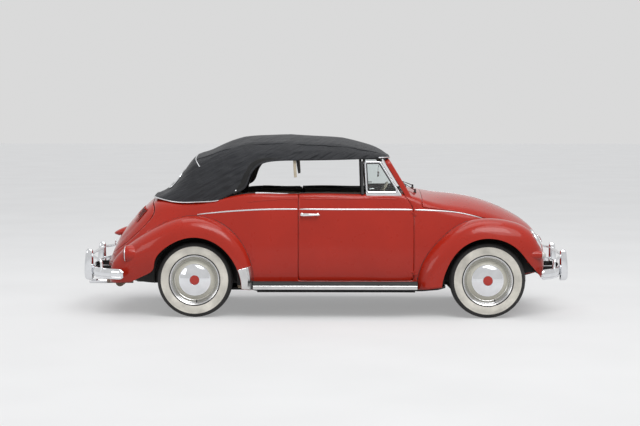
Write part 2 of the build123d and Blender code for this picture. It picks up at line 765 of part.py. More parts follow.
def bumper(plan, guard_x_from, guard_x_to, bracket_x, label):
    """A blade that wraps round the corners, two guards, their tubes and the brackets."""
    x_mid, x_bend, y_bend, x_corner, y_corner, x_tip, y_tip = plan
    inward = -BLADE_DEPTH if x_mid > 0 else BLADE_DEPTH
    with BuildPart() as bar:
        with BuildSketch(Plane.XY.offset(BUMPER_Z - BLADE_HEIGHT / 2)):
            with BuildLine():
                ThreePointArc((x_bend, -y_bend), (x_mid, 0), (x_bend, y_bend))
                ThreePointArc((x_bend, y_bend), (x_corner, y_corner), (x_tip, y_tip))
                Line((x_tip, y_tip), (x_tip + inward, y_tip))
                ThreePointArc(
                    (x_tip + inward, y_tip), (x_corner + inward, y_corner), (x_bend + inward, y_bend)
                )
                ThreePointArc((x_bend + inward, y_bend), (x_mid + inward, 0), (x_bend + inward, -y_bend))
                ThreePointArc(
                    (x_bend + inward, -y_bend), (x_corner + inward, -y_corner), (x_tip + inward, -y_tip)
                )
                Line((x_tip + inward, -y_tip), (x_tip, -y_tip))
                ThreePointArc((x_tip, -y_tip), (x_corner, -y_corner), (x_bend, -y_bend))
            make_face()
        extrude(amount=BLADE_HEIGHT)
        for side in (-1, 1):
            with BuildSketch(Plane.XY.offset(GUARD_BOTTOM_Z)):
                with Locations(((guard_x_from + guard_x_to) / 2, side * OVERRIDER_Y)):
                    RectangleRounded(abs(guard_x_to - guard_x_from), 2 * OVERRIDER_HALF, 24)
            extrude(amount=GUARD_TOP_Z - GUARD_BOTTOM_Z)
            with Locations((bracket_x, side * BRACKET_Y, BUMPER_Z)):
                Box(2 * (abs(x_mid - bracket_x) - BLADE_DEPTH / 2), BRACKET_WIDTH, BRACKET_HEIGHT)
        rail_x = guard_x_from - inward
        tube_end = (x_corner + inward / 2, y_corner)
        with BuildSketch(Plane.XZ.offset(OVERRIDER_Y)):
            with Locations((rail_x, RAIL_Z)):
                Circle(RAIL_RADIUS)
        extrude(amount=-2 * OVERRIDER_Y)
        for side in (-1, 1):
            with BuildLine() as route:
                Polyline(
                    (rail_x, side * OVERRIDER_Y, RAIL_Z),
                    (rail_x + (tube_end[0] - rail_x) * 0.75, side * (tube_end[1] - 40), RAIL_Z - 8),
                    (tube_end[0], side * tube_end[1], RAIL_Z - 40),
                    (tube_end[0], side * tube_end[1], BUMPER_Z),
                )
            with BuildSketch(Plane(origin=route.wire() @ 0, z_dir=route.wire() % 0)):
                Circle(RAIL_RADIUS)
            sweep(path=route.wire(), transition=Transition.ROUND)
        add(OUTER, mode=Mode.SUBTRACT)
    keep(bar.part, label)


bumper(FRONT_BLADE, FRONT_GUARD_X, FRONT_TIP_X, BRACKET_X, "front_bumper")
bumper(REAR_BLADE, REAR_GUARD_X, REAR_TIP_X, -BRACKET_X, "rear_bumper")


# ---------------------------------------------------------------- windscreen
SCREEN_RISE = SCREEN_TOP_Z - SCREEN_BASE_Z
SCREEN_RUN = SCREEN_TOP_X - SCREEN_BASE_X
SCREEN_SLOPE = hypot(SCREEN_RISE, SCREEN_RUN)
SCREEN_PLANE = Plane(
    origin=(SCREEN_BASE_X, 0, SCREEN_BASE_Z), x_dir=(0, 1, 0), z_dir=(SCREEN_RISE, 0, -SCREEN_RUN)
)


def screen_outline(inset_side, inset_foot, inset_head):
    """The windscreen's outline in its own plane, drawn in from each edge."""
    Polyline(
        (-(SCREEN_BASE_HALF - inset_side), inset_foot),
        (-(SCREEN_TOP_HALF - inset_side), SCREEN_SLOPE - inset_head),
        (SCREEN_TOP_HALF - inset_side, SCREEN_SLOPE - inset_head),
        (SCREEN_BASE_HALF - inset_side, inset_foot),
        close=True,
    )


with BuildPart() as windshield_frame:
    with BuildSketch(SCREEN_PLANE):
        with BuildLine():
            screen_outline(0, -SCREEN_SINK, 0)
        make_face()
        with BuildLine():
            screen_outline(SCREEN_BAR, SCREEN_FOOT, SCREEN_HEAD)
        make_face(mode=Mode.SUBTRACT)
    extrude(amount=-SCREEN_DEPTH)
    add(OUTER, mode=Mode.SUBTRACT)
windshield_ring = windshield_frame.part.solids().sort_by(SortBy.VOLUME)[-1]
keep(windshield_ring, "windshield_frame")

with BuildPart() as windshield_glass:
    with BuildSketch(SCREEN_PLANE.offset(-SCREEN_DEPTH / 2)):
        with BuildLine():
            screen_outline(SCREEN_BAR, SCREEN_FOOT, SCREEN_HEAD)
        make_face()
    extrude(amount=GLASS)
keep(windshield_glass.part, "windshield_glass")


# ---------------------------------------------------------------- soft top
# columns as for the hull
TOP_STATIONS = (
    (-1447, 900, 400, 372, 940, 250, 965, 990, 20),
    (-1332, 900, 455, 425, 970, 330, 1018, 1057, 36),
    (-1233, 900, 500, 468, 1010, 375, 1108, 1155, 60),
    (-1112, 900, 540, 512, 1060, 425, 1255, 1309, 85),
    (-1013, 900, 562, 536, 1080, 445, 1302, 1353, 90),
    (-893, 900, 580, 560, 1100, 465, 1350, 1408, 90),
    (-739, 900, 594, 578, 1120, 488, 1395, 1462, 90),
    (-492, 900, 604, 588, 1140, 505, 1424, 1494, 90),
    (-225, 900, 606, 590, 1140, 512, 1422, 1492, 90),
    (120, 900, 606, 588, 1140, 514, 1402, 1467, 80),
    (300, 900, 604, 584, 1140, 518, 1372, 1431, 60),
    (477, 900, 600, 580, 1130, 528, 1326, 1357, 28),
    (531, 900, 598, 578, 1120, 532, 1304, 1319, 12),
)
TOP_EDGE = (
    (600, 1307), (121, 1294), (-238, 1289), (-489, 1274), (-594, 1222), (-655, 1055), (-736, 1026),
    (-873, 956), (-1120, 936), (-1279, 940), (-1360, 956), (-1447, 970), (-1500, 970), (-1500, 800), (600, 800),
)

with BuildPart() as top_inside:
    add(hull_loft(TOP_STATIONS, TOP_SKIN, TOP_SKIN, 60.0))
with BuildPart() as top_lining:
    add(hull_loft(TOP_STATIONS, TOP_SKIN + SEAT_CLEARANCE, TOP_SKIN + SEAT_CLEARANCE, 60.0))
with BuildPart() as top_core:
    deep = TOP_SKIN + SEAT_CLEARANCE + BOW_DEPTH
    add(hull_loft(TOP_STATIONS, deep, deep, 60.0))

WINDOW_RUN = REAR_WINDOW_TOP[0] - REAR_WINDOW_FOOT[0]
WINDOW_RISE = REAR_WINDOW_TOP[1] - REAR_WINDOW_FOOT[1]
WINDOW_HEIGHT = hypot(WINDOW_RUN, WINDOW_RISE)
WINDOW_PLANE = Plane(
    origin=(
        (REAR_WINDOW_TOP[0] + REAR_WINDOW_FOOT[0]) / 2,
        0,
        (REAR_WINDOW_TOP[1] + REAR_WINDOW_FOOT[1]) / 2,
    ),
    x_dir=(0, 1, 0),
    z_dir=(-WINDOW_RISE, 0, WINDOW_RUN),
)


def rear_window_slab(grow, out, inward):
    """A rounded slab across the slope of the top's back."""
    with BuildPart() as slab:
        with BuildSketch(WINDOW_PLANE.offset(-inward)):
            RectangleRounded(2 * (REAR_WINDOW_HALF + grow), WINDOW_HEIGHT + 2 * grow, 40)
        extrude(amount=out + inward)
    return slab.part


with BuildPart() as soft_top:
    add(hull_loft(TOP_STATIONS))
    add(top_inside.part, mode=Mode.SUBTRACT)
    add(side_outline(TOP_EDGE, 700, -700), mode=Mode.SUBTRACT)
    add(rear_window_slab(SEAT_CLEARANCE, 60, 60), mode=Mode.SUBTRACT)
    add(OUTER, mode=Mode.SUBTRACT)
    add(windshield_ring, mode=Mode.SUBTRACT)
keep(soft_top.part.solids().sort_by(SortBy.VOLUME)[-1], "soft_top")

keep(rear_window_slab(0, 6, 8), "rear_window")

TOP_RAIL = (
    (HEADER_X, 1306), (120, 1300), (-230, 1296), (-500, 1280), (-640, 1205), (-690, 1060), (-720, 930),
    (-750, 930), (-716, 1068), (-668, 1218), (-512, 1304), (-230, 1318), (120, 1322), (HEADER_X, 1326),
)

with BuildPart() as top_bows:
    for bow_x, foot_z in BOWS:
        with BuildPart(mode=Mode.PRIVATE) as bow:
            with Locations((bow_x, 0, (BOW_TOP_Z + foot_z) / 2)):
                Box(BOW_WIDTH, 1200, BOW_TOP_Z - foot_z)
            add(top_lining.part, mode=Mode.INTERSECT)
            add(top_core.part, mode=Mode.SUBTRACT)
        add(bow.part)
    with BuildPart(mode=Mode.PRIVATE) as header:
        with Locations((HEADER_X, 0, SCREEN_TOP_Z + 50 + SEAT_CLEARANCE)):
            Box(46, 2 * RAIL_Y, 100)
        add(top_lining.part, mode=Mode.INTERSECT)
    add(header.part)
    with BuildPart(mode=Mode.PRIVATE) as rails:
        for side in (-1, 1):
            with BuildSketch(Plane.XZ.offset(-side * RAIL_Y - RAIL_WIDTH / 2)):
                with BuildLine():
                    Polyline(*TOP_RAIL, close=True)
                make_face()
            extrude(amount=RAIL_WIDTH)
        add(top_lining.part, mode=Mode.INTERSECT)
        for side in (-1, 1):
            with Locations((TOP_PIVOT_X, side * (RAIL_Y + COCKPIT_HALF) / 2, TOP_PIVOT_Z)):
                Box(30, COCKPIT_HALF - RAIL_Y, 50)
    add(rails.part)
keep(top_bows.part, "top_frame")


# ---------------------------------------------------------------- cabin
with BuildPart() as dashboard:
    with Locations(((DASH_REAR_X + DASH_FRONT_X) / 2, 0, (DASH_BOTTOM_Z + 1100) / 2)):
        Box(DASH_FRONT_X - DASH_REAR_X, 2 * DASH_HALF, 1100 - DASH_BOTTOM_Z)
    add(INNER, mode=Mode.INTERSECT)
keep(dashboard.part, "dashboard")


def pad(x_from, x_to, half_width, z_from, z_to, y, lean=0.0):
    """A seat pad with rounded corners; a back leans rearward by some degrees about its lower rear edge."""
    with BuildPart() as block:
        Box(x_to - x_from, 2 * half_width, z_to - z_from, align=(Align.MIN, Align.CENTER, Align.MIN))
        fillet(block.edges(), SEAT_CORNER)
    return Pos(x_from, y, z_from) * block.part.rotate(Axis.Y, -lean)


def seat(front_x, rear_x, half_width, back_half_width, back_length, lean, y):
    """A cushion and the back that stands just behind it."""
    tilt = radians(lean)
    foot_x = rear_x - SEAT_CLEARANCE + SEAT_CORNER * (sin(tilt) + cos(tilt) - 1) - BACK_THICKNESS * cos(tilt)
    back = pad(
        foot_x, foot_x + BACK_THICKNESS, back_half_width, BACK_FOOT_Z, BACK_FOOT_Z + back_length, y, lean
    )
    return [pad(rear_x, front_x, half_width, CUSHION_BOTTOM_Z, CUSHION_TOP_Z, y), back]


FRONT_SEATS = []
for side in (-1, 1):
    FRONT_SEATS += seat(
        FRONT_CUSHION_X + CUSHION_LENGTH, FRONT_CUSHION_X, SEAT_WIDTH / 2, SEAT_WIDTH / 2, FRONT_BACK_LENGTH,
        FRONT_LEAN, side * SEAT_Y,
    )
keep(Compound(children=FRONT_SEATS), "front_seats")
REAR_SEAT = seat(
    REAR_CUSHION_X + REAR_CUSHION_LENGTH, REAR_CUSHION_X, REAR_CUSHION_HALF, REAR_BACK_HALF, REAR_BACK_LENGTH,
    REAR_LEAN, 0,
)
keep(Compound(children=REAR_SEAT), "rear_seat")

with BuildPart() as seat_frames:
    frame_top = CUSHION_BOTTOM_Z - SEAT_CLEARANCE
    floor_top = FLOOR_Z + FLOOR_WALL
    middle_z = (floor_top + frame_top) / 2
    frame_x = FRONT_CUSHION_X + CUSHION_LENGTH / 2
    for side in (-1, 1):
        with Locations((frame_x, side * SEAT_Y, middle_z)):
            Box(FRAME_LENGTH, FRAME_ACROSS, frame_top - floor_top)
            Box(
                FRAME_LENGTH - 2 * FRAME_WALL, FRAME_ACROSS - 2 * FRAME_WALL, frame_top - floor_top,
                mode=Mode.SUBTRACT,
            )
        with Locations((frame_x, side * SEAT_Y, frame_top - FRAME_TRAY / 2)):
            Box(FRAME_LENGTH, FRAME_ACROSS, FRAME_TRAY)
    rear_frame_x = REAR_CUSHION_X + REAR_CUSHION_LENGTH / 2
    with Locations((rear_frame_x, 0, (TUNNEL_TOP_Z + frame_top) / 2)):
        Box(REAR_FRAME_LENGTH, 2 * REAR_FRAME_HALF, frame_top - TUNNEL_TOP_Z)
    for side in (-1, 1):
        with Locations((rear_frame_x, side * (REAR_FRAME_HALF - REAR_FRAME_WALL / 2), middle_z)):
            Box(REAR_FRAME_LENGTH, REAR_FRAME_WALL, frame_top - floor_top)
keep(seat_frames.part, "seat_frames")


# ---------------------------------------------------------------- steering column and wheel
COLUMN_PLANE = Plane(
    origin=(STEERING_WHEEL_X, STEERING_WHEEL_Y, STEERING_WHEEL_Z),
    x_dir=(0, 1, 0),
    z_dir=(cos(radians(COLUMN_TILT)), 0, -sin(radians(COLUMN_TILT))),
)
COLUMN_LENGTH = (FIREWALL_X - STEERING_WHEEL_X) / cos(radians(COLUMN_TILT))

with BuildPart() as steering_column:
    with BuildSketch(COLUMN_PLANE.offset(COLUMN_GAP)):
        Circle(COLUMN_RADIUS)
    extrude(amount=COLUMN_LENGTH)
    split(bisect_by=Plane.YZ.offset(FIREWALL_X), keep=Keep.BOTTOM)
keep(steering_column.part, "steering_column")

with BuildPart() as steering_wheel:
    with BuildSketch(Plane(origin=COLUMN_PLANE.origin, x_dir=(0, 1, 0), z_dir=COLUMN_PLANE.y_dir)) as grip:
        with Locations((STEERING_WHEEL_RADIUS - STEERING_WHEEL_GRIP, 0)):
            Circle(STEERING_WHEEL_GRIP)
    revolve(axis=Axis(COLUMN_PLANE.origin, COLUMN_PLANE.z_dir))
    with BuildSketch(COLUMN_PLANE.offset(-10)):
        Circle(HORN_RADIUS)
        Rectangle(2 * (STEERING_WHEEL_RADIUS - STEERING_WHEEL_GRIP), 24)
    extrude(amount=14)
    with BuildSketch(COLUMN_PLANE):
        Circle(COLUMN_RADIUS)
    extrude(amount=COLUMN_GAP - SEAT_CLEARANCE)
keep(steering_wheel.part, "steering_wheel")


# ---------------------------------------------------------------- engine, transmission and exhaust
with BuildPart() as engine_block:
    with Locations(((ENGINE_FRONT_X + ENGINE_REAR_X) / 2, 0, (CASE_BOTTOM_Z + CASE_TOP_Z) / 2)):
        Box(ENGINE_FRONT_X - ENGINE_REAR_X, 2 * CASE_HALF, CASE_TOP_Z - CASE_BOTTOM_Z)
    with Locations(((FAN_FRONT_X + FAN_REAR_X) / 2, 0, (CASE_TOP_Z + FAN_TOP_Z) / 2)):
        Box(FAN_FRONT_X - FAN_REAR_X, 2 * FAN_HALF, FAN_TOP_Z - CASE_TOP_Z)
keep(engine_block.part, "engine_block")

with BuildPart() as transaxle:
    with BuildSketch(Plane.YZ.offset(ENGINE_FRONT_X)):
        with Locations((0, AXLE_Z)):
            Circle(GEARBOX_RADIUS)
    extrude(amount=REAR_BULKHEAD_X - BULKHEAD_WALL - NOSE_MOUNT[0] - ENGINE_FRONT_X)
    with Locations((REAR_BULKHEAD_X - BULKHEAD_WALL - NOSE_MOUNT[0] / 2, 0, AXLE_Z)):
        Box(*NOSE_MOUNT)
    with Locations(Location((REAR_AXLE_X, 0, AXLE_Z), (90, 0, 0))):
        Cylinder(AXLE_TUBE_RADIUS, 2 * (TRACK_REAR / 2 + DRUM_IN - DRUM_GAP))
        Cylinder(SPINDLE_RADIUS, 2 * (TRACK_REAR / 2 + SPINDLE_END))
keep(transaxle.part, "transaxle")

with BuildPart() as exhaust:
    with Locations(Location((MUFFLER_X, 0, MUFFLER_Z), (90, 0, 0))):
        Cylinder(MUFFLER_RADIUS, 2 * MUFFLER_HALF)
    for side in (-1, 1):
        with BuildSketch(Plane.YZ.offset(MUFFLER_X)):
            with Locations((side * TAILPIPE_Y, MUFFLER_Z)):
                Circle(TAILPIPE_RADIUS)
        extrude(amount=TAILPIPE_END_X - MUFFLER_X)
        with BuildSketch(Plane.YZ.offset(TAILPIPE_END_X)):
            with Locations((side * TAILPIPE_Y, MUFFLER_Z)):
                Circle(TAILPIPE_BORE)
        extrude(amount=TAILPIPE_BORE_LENGTH, mode=Mode.SUBTRACT)
        with BuildSketch(Plane.YZ.offset(ENGINE_REAR_X)):
            with Locations((side * TAILPIPE_Y, MUFFLER_Z)):
                Circle(TAILPIPE_RADIUS)
        extrude(amount=MUFFLER_X - ENGINE_REAR_X)
keep(exhaust.part, "exhaust")


# ---------------------------------------------------------------- front axle and knuckles
with BuildPart() as front_axle:
    for beam_z in (BEAM_UPPER_Z, BEAM_LOWER_Z):
        with Locations(Location((BEAM_X, 0, beam_z), (90, 0, 0))):
            Cylinder(BEAM_RADIUS, 2 * BEAM_END_Y)
    for side in (-1, 1):
        with Locations((BEAM_X, side * BEAM_PLATE_Y, (BEAM_UPPER_Z + BEAM_LOWER_Z) / 2)):
            Box(*BEAM_PLATE, BEAM_UPPER_Z - BEAM_LOWER_Z)
        arm_in_y = BEAM_END_Y - ARM_OVERLAP
        arm_end_y = KINGPIN_Y + KINGPIN_RADIUS + ARM_PAST_PIN
        for arm_z in (BEAM_UPPER_Z, BEAM_LOWER_Z):
            with Locations(((BEAM_X + FRONT_AXLE_X) / 2, side * (arm_in_y + ARM_THICKNESS / 2), arm_z)):
                Box(BEAM_X - FRONT_AXLE_X + ARM_WIDTH, ARM_THICKNESS, ARM_THICKNESS)
            with Locations((FRONT_AXLE_X, side * (arm_in_y + arm_end_y) / 2, arm_z)):
                Box(ARM_WIDTH, arm_end_y - arm_in_y, ARM_THICKNESS)
        with Locations((FRONT_AXLE_X, side * KINGPIN_Y, (BEAM_UPPER_Z + BEAM_LOWER_Z) / 2)):
            Cylinder(KINGPIN_RADIUS, BEAM_UPPER_Z - BEAM_LOWER_Z)
keep(front_axle.part, "front_axle")

with BuildPart() as knuckle:
    with Locations((FRONT_AXLE_X, -KINGPIN_Y, AXLE_Z)):
        Cylinder(KNUCKLE_RADIUS, 2 * KNUCKLE_HALF)
    spindle_end = TRACK_FRONT / 2 + SPINDLE_END
    with Locations(Location((FRONT_AXLE_X, -(spindle_end + KINGPIN_Y) / 2, AXLE_Z), (90, 0, 0))):
        Cylinder(SPINDLE_RADIUS, spindle_end - KINGPIN_Y)
    arm_x = FRONT_AXLE_X - STEERING_ARM[0] / 2
    with Locations((arm_x, -KINGPIN_Y + STEERING_ARM_IN, AXLE_Z - STEERING_ARM_DOWN)):
        Box(*STEERING_ARM)
    with Locations((FRONT_AXLE_X, -KINGPIN_Y, AXLE_Z)):
        Cylinder(KINGPIN_RADIUS + RUNNING_CLEARANCE, 2 * KNUCKLE_HALF, mode=Mode.SUBTRACT)
both_sides(knuckle.part, "knuckle")


# ---------------------------------------------------------------- wheels
def wheel_plane(x, y):
    """A plane through a wheel's centre with local x pointing outboard and local y away from the axle."""
    side = 1 if y > 0 else -1
    return Plane(origin=(x, y, AXLE_Z), x_dir=(0, side, 0), z_dir=(1, 0, 0))


def revolved(plane, chain):
    """A ring or disc turned about the wheel's axle from closed straight and curved lines."""
    with BuildPart() as ring:
        with BuildSketch(plane):
            with BuildLine():
                for points in chain:
                    if len(points) == 3:
                        ThreePointArc(*points)
                    else:
                        Line(*points)
            make_face()
        revolve(axis=Axis(plane.origin, plane.x_dir))
    return ring.part


def closed_lines(points):
    """The straight sides of a closed outline."""
    return [(points[i], points[(i + 1) % len(points)]) for i in range(len(points))]


def tyre(x, y):
    """A solid ring between the rim's flanges."""
    bead = RIM_WIDTH / 2 - RIM_WALL
    wall = TYRE_WIDTH / 2
    shoulder = TYRE_CROWN / 2
    shoulder_r = TYRE_RADIUS - 6
    middle_r = SEAT_RADIUS + 0.5 * (TYRE_RADIUS - SEAT_RADIUS)
    return revolved(
        wheel_plane(x, y),
        [
            ((-bead, SEAT_RADIUS), (bead, SEAT_RADIUS)),
            ((bead, SEAT_RADIUS), (bead, FLANGE_RADIUS)),
            ((bead, FLANGE_RADIUS), (wall, middle_r), (shoulder, shoulder_r)),
            ((shoulder, shoulder_r), (0, TYRE_RADIUS), (-shoulder, shoulder_r)),
            ((-shoulder, shoulder_r), (-wall, middle_r), (-bead, FLANGE_RADIUS)),
            ((-bead, FLANGE_RADIUS), (-bead, SEAT_RADIUS)),
        ],
    )


def rim(x, y):
    """The steel rim, its disc and the brake drum, with the hub cap as a second solid."""
    plane = wheel_plane(x, y)
    edge = RIM_WIDTH / 2
    bead = edge - RIM_WALL
    seat_in = SEAT_RADIUS - RIM_WALL
    drop = SEAT_RADIUS - DROP_DEPTH
    drop_in = drop - RIM_WALL
    bore = SPINDLE_RADIUS + RUNNING_CLEARANCE
    bore_end = SPINDLE_END + SEAT_CLEARANCE
    disc_in = DISC_OUT - DISC_WALL
    steel = revolved(
        plane,
        closed_lines(
            [
                (-edge, FLANGE_RADIUS), (-bead, FLANGE_RADIUS), (-bead, SEAT_RADIUS), (-32, SEAT_RADIUS),
                (-22, drop), (22, drop), (32, SEAT_RADIUS), (bead, SEAT_RADIUS), (bead, FLANGE_RADIUS),
                (edge, FLANGE_RADIUS),
                (edge, seat_in), (30, seat_in), (20, drop_in), (DISC_EDGE_W, drop_in),
                (DISC_OUT, HUBCAP_RADIUS + 6), (DISC_OUT, 0), (bore_end, 0), (bore_end, bore),
                (DRUM_IN, bore), (DRUM_IN, DRUM_RADIUS), (disc_in, DRUM_RADIUS), (disc_in, HUBCAP_RADIUS + 2),
                (DISC_EDGE_W - DISC_WALL, drop_in), (-20, drop_in), (-30, seat_in), (-edge, seat_in),
            ]
        ),
    )
    cap_edge = DISC_OUT + HUBCAP_LIP
    dome_radius = (HUBCAP_RADIUS**2 + HUBCAP_RISE**2) / (2 * HUBCAP_RISE)
    half_angle = atan2(HUBCAP_RADIUS, dome_radius - HUBCAP_RISE) / 2
    dome_middle = (
        cap_edge + HUBCAP_RISE - dome_radius * (1 - cos(half_angle)),
        dome_radius * sin(half_angle),
    )
    cap = revolved(
        plane,
        [
            ((DISC_OUT, 0), (DISC_OUT, HUBCAP_RADIUS)),
            ((DISC_OUT, HUBCAP_RADIUS), (cap_edge, HUBCAP_RADIUS)),
            ((cap_edge, HUBCAP_RADIUS), dome_middle, (cap_edge + HUBCAP_RISE, 0)),
            ((cap_edge + HUBCAP_RISE, 0), (DISC_OUT, 0)),
        ],
    )
    return Compound(children=[steel.solids()[0], cap.solids()[0]])


# columns: place, x, y of the wheel's middle
WHEELS = (
    ("front_right", FRONT_AXLE_X, -TRACK_FRONT / 2),
    ("front_left", FRONT_AXLE_X, TRACK_FRONT / 2),
    ("rear_right", REAR_AXLE_X, -TRACK_REAR / 2),
    ("rear_left", REAR_AXLE_X, TRACK_REAR / 2),
)
for place, wheel_x, wheel_y in WHEELS:
    keep(tyre(wheel_x, wheel_y), f"tyre_{place}")
    keep(rim(wheel_x, wheel_y), f"rim_{place}")
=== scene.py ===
"""The looks of a two-door convertible car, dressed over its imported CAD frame.

X points to the car's nose, Y to its left and Z up. Shapes are given in millimetres; the meshes, the materials,
the camera and the lamps are in metres, as the frame is.
"""

import math
from functools import lru_cache

import bmesh
import bpy
import numpy as np
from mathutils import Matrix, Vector, noise
from mathutils.bvhtree import BVHTree


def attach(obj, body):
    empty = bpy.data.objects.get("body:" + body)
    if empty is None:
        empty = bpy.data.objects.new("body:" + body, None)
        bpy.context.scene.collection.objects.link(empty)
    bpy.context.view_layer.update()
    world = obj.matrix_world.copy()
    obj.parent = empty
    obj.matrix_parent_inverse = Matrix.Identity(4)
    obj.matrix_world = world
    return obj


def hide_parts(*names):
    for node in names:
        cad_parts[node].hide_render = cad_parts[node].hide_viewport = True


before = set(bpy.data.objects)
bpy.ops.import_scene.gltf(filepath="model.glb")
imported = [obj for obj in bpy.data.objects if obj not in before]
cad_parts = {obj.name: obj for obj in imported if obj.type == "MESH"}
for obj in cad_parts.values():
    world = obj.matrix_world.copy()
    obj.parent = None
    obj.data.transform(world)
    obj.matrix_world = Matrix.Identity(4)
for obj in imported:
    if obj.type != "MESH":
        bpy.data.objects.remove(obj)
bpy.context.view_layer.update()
MM = 0.001
WELD = 0.02  # points this close (mm) become one
SIDES = ((-1, "right"), (1, "left"))

# ---------------------------------------------------------------- driving places, as in the CAD source (mm)
FRONT_AXLE_X, REAR_AXLE_X, AXLE_Z = 1330.0, -1070.0, 310.0
DOOR_FRONT_X, DOOR_REAR_X, DOOR_BOTTOM_Z, DOOR_KINK_Z, DOOR_TOP_FRONT_X = 727.0, -219.0, 306.0, 897.0, 640.0
BELT_Z = 1015.0
HOOD_REAR_X = 800.0
GAP = 5.0  # between an opening panel and the body
WELL_RADIUS = 348.0
DOOR_DEPTH = 50.0
HOOD_LINE = (
    (780, 905), (1145, 852), (1310, 812), (1460, 770), (1600, 690), (1720, 595), (1800, 520), (1900, 440),
)
# columns: x, z_bottom, w_bottom, w_middle, z_middle, w_shoulder, z_shoulder, z_crown, r_shoulder
HULL = (
    (-1846, 325, 130, 180, 380, 140, 425, 445, 20),
    (-1800, 305, 240, 310, 400, 230, 515, 545, 50),
    (-1720, 290, 350, 420, 440, 300, 630, 678, 90),
    (-1600, 280, 455, 510, 490, 360, 765, 826, 110),
    (-1440, 272, 545, 578, 530, 425, 910, 968, 110),
    (-1240, 266, 600, 622, 560, 500, 935, 975, 80),
    (-980, 262, 630, 645, 580, 562, 948, 970, 50),
    (-700, 260, 640, 657, 600, 596, 1006, 1016, 40),
    (-360, 260, 642.5, 661.5, 610, 604, 1011, 1021, 40),
    (-20, 260, 645, 666, 620, 612, 1016, 1026, 40),
    (320, 260, 642.5, 660.5, 620, 603, 1010, 1033, 40),
    (660, 260, 640, 655, 620, 594, 1004, 1040, 40),
    (900, 262, 596, 622, 600, 566, 925, 1006, 70),
    (1130, 268, 535, 562, 590, 528, 868, 980, 90),
    (1340, 280, 465, 492, 570, 474, 812, 930, 100),
    (1520, 295, 395, 415, 540, 405, 735, 858, 100),
    (1670, 312, 315, 336, 500, 318, 640, 772, 95),
    (1780, 330, 230, 250, 460, 225, 545, 672, 80),
    (1850, 345, 135, 152, 425, 135, 462, 560, 50),
)
# columns: angle about the axle, r_lip, w_lip, r_crown, w_crown, r_in, w_in
REAR_WING = (
    (-10, 395, 735, 478, 660, 466, 560),
    (25, 362, 760, 482, 665, 470, 500),
    (60, 358, 768, 505, 660, 493, 480),
    (95, 358, 770, 521, 655, 509, 450),
    (130, 358, 765, 540, 630, 528, 400),
    (155, 358, 745, 630, 580, 590, 340),
    (172, 385, 700, 712, 560, 660, 340),
    (184, 560, 660, 712, 550, 660, 380),
)
FRONT_WING = (
    (3, 440, 660, 452, 520, 435, 215),
    (20, 375, 720, 500, 530, 460, 235),
    (45, 355, 755, 540, 550, 445, 280),
    (75, 353, 770, 510, 570, 430, 360),
    (105, 353, 770, 505, 585, 480, 450),
    (140, 350, 765, 508, 610, 500, 500),
    (165, 355, 755, 548, 635, 540, 500),
    (189, 385, 745, 575, 650, 565, 600),
)


# ---------------------------------------------------------------- small maths
def lengths(points):
    """The way along a line from its start to each point."""
    return np.concatenate([[0], np.cumsum(np.linalg.norm(np.diff(points, axis=0), axis=1))])


def units(vectors):
    """Each row of vectors at length one."""
    return vectors / np.linalg.norm(vectors, axis=1)[:, None]


def full_turn(count):
    """Evenly spaced angles once round."""
    return np.linspace(0, 2 * math.pi, count, endpoint=False)


def ramp_between(value, low, high):
    """0 below low, 1 above high and the share of the way between them."""
    return min(1.0, max(0.0, (value - low) / (high - low)))


def bell(value, middle, width):
    """1 at a middle, falling off to both sides."""
    return math.exp(-(((value - middle) / width) ** 2))


def spline(knots, values):
    """A natural cubic spline through values at knots; values may have several columns."""
    knots, values = np.asarray(knots, float), np.asarray(values, float)
    flat = values.reshape(len(knots), -1)
    count, gaps = len(knots), np.diff(knots)
    system, right = np.eye(count), np.zeros_like(flat)
    for i in range(1, count - 1):
        system[i, i - 1 : i + 2] = gaps[i - 1], 2 * (gaps[i - 1] + gaps[i]), gaps[i]
        right[i] = 6 * ((flat[i + 1] - flat[i]) / gaps[i] - (flat[i] - flat[i - 1]) / gaps[i - 1])
    bend = np.linalg.solve(system, right)

    def at(x):
        x = np.clip(np.atleast_1d(x), knots[0], knots[-1])
        i = np.clip(np.searchsorted(knots, x) - 1, 0, count - 2)
        h, a, b = (v[:, None] for v in (gaps[i], knots[i + 1] - x, x - knots[i]))
        result = (
            bend[i] * a**3 / (6 * h)
            + bend[i + 1] * b**3 / (6 * h)
            + (flat[i] / h - bend[i] * h / 6) * a
            + (flat[i + 1] / h - bend[i + 1] * h / 6) * b
        )
        return result.reshape((len(i),) + values.shape[1:])

    return at


def arc(a, b, c, count):
    """Points along the circle from a through b to c."""
    (ax, ay), (bx, by), (cx, cy) = a, b, c
    d = 2 * (ax * (by - cy) + bx * (cy - ay) + cx * (ay - by))
    if abs(d) < 1e-6:
        share = np.linspace(0, 1, count)[:, None]
        return np.array(a) * (1 - share) + np.array(c) * share
    ux = ((ax**2 + ay**2) * (by - cy) + (bx**2 + by**2) * (cy - ay) + (cx**2 + cy**2) * (ay - by)) / d
    uy = ((ax**2 + ay**2) * (cx - bx) + (bx**2 + by**2) * (ax - cx) + (cx**2 + cy**2) * (bx - ax)) / d
    radius = math.hypot(ax - ux, ay - uy)
    start, middle, end = (math.atan2(y - uy, x - ux) for x, y in (a, b, c))
    turn = (end - start) % (2 * math.pi)
    if (middle - start) % (2 * math.pi) > turn:
        turn -= 2 * math.pi
    angles = start + turn * np.linspace(0, 1, count)
    return np.stack([ux + radius * np.cos(angles), uy + radius * np.sin(angles)], 1)


def resample(points, count):
    """The same line with evenly spaced points."""
    points = np.asarray(points, float)
    run = lengths(points)
    at = np.linspace(0, run[-1], count)
    return np.stack([np.interp(at, run, points[:, k]) for k in range(points.shape[1])], 1)


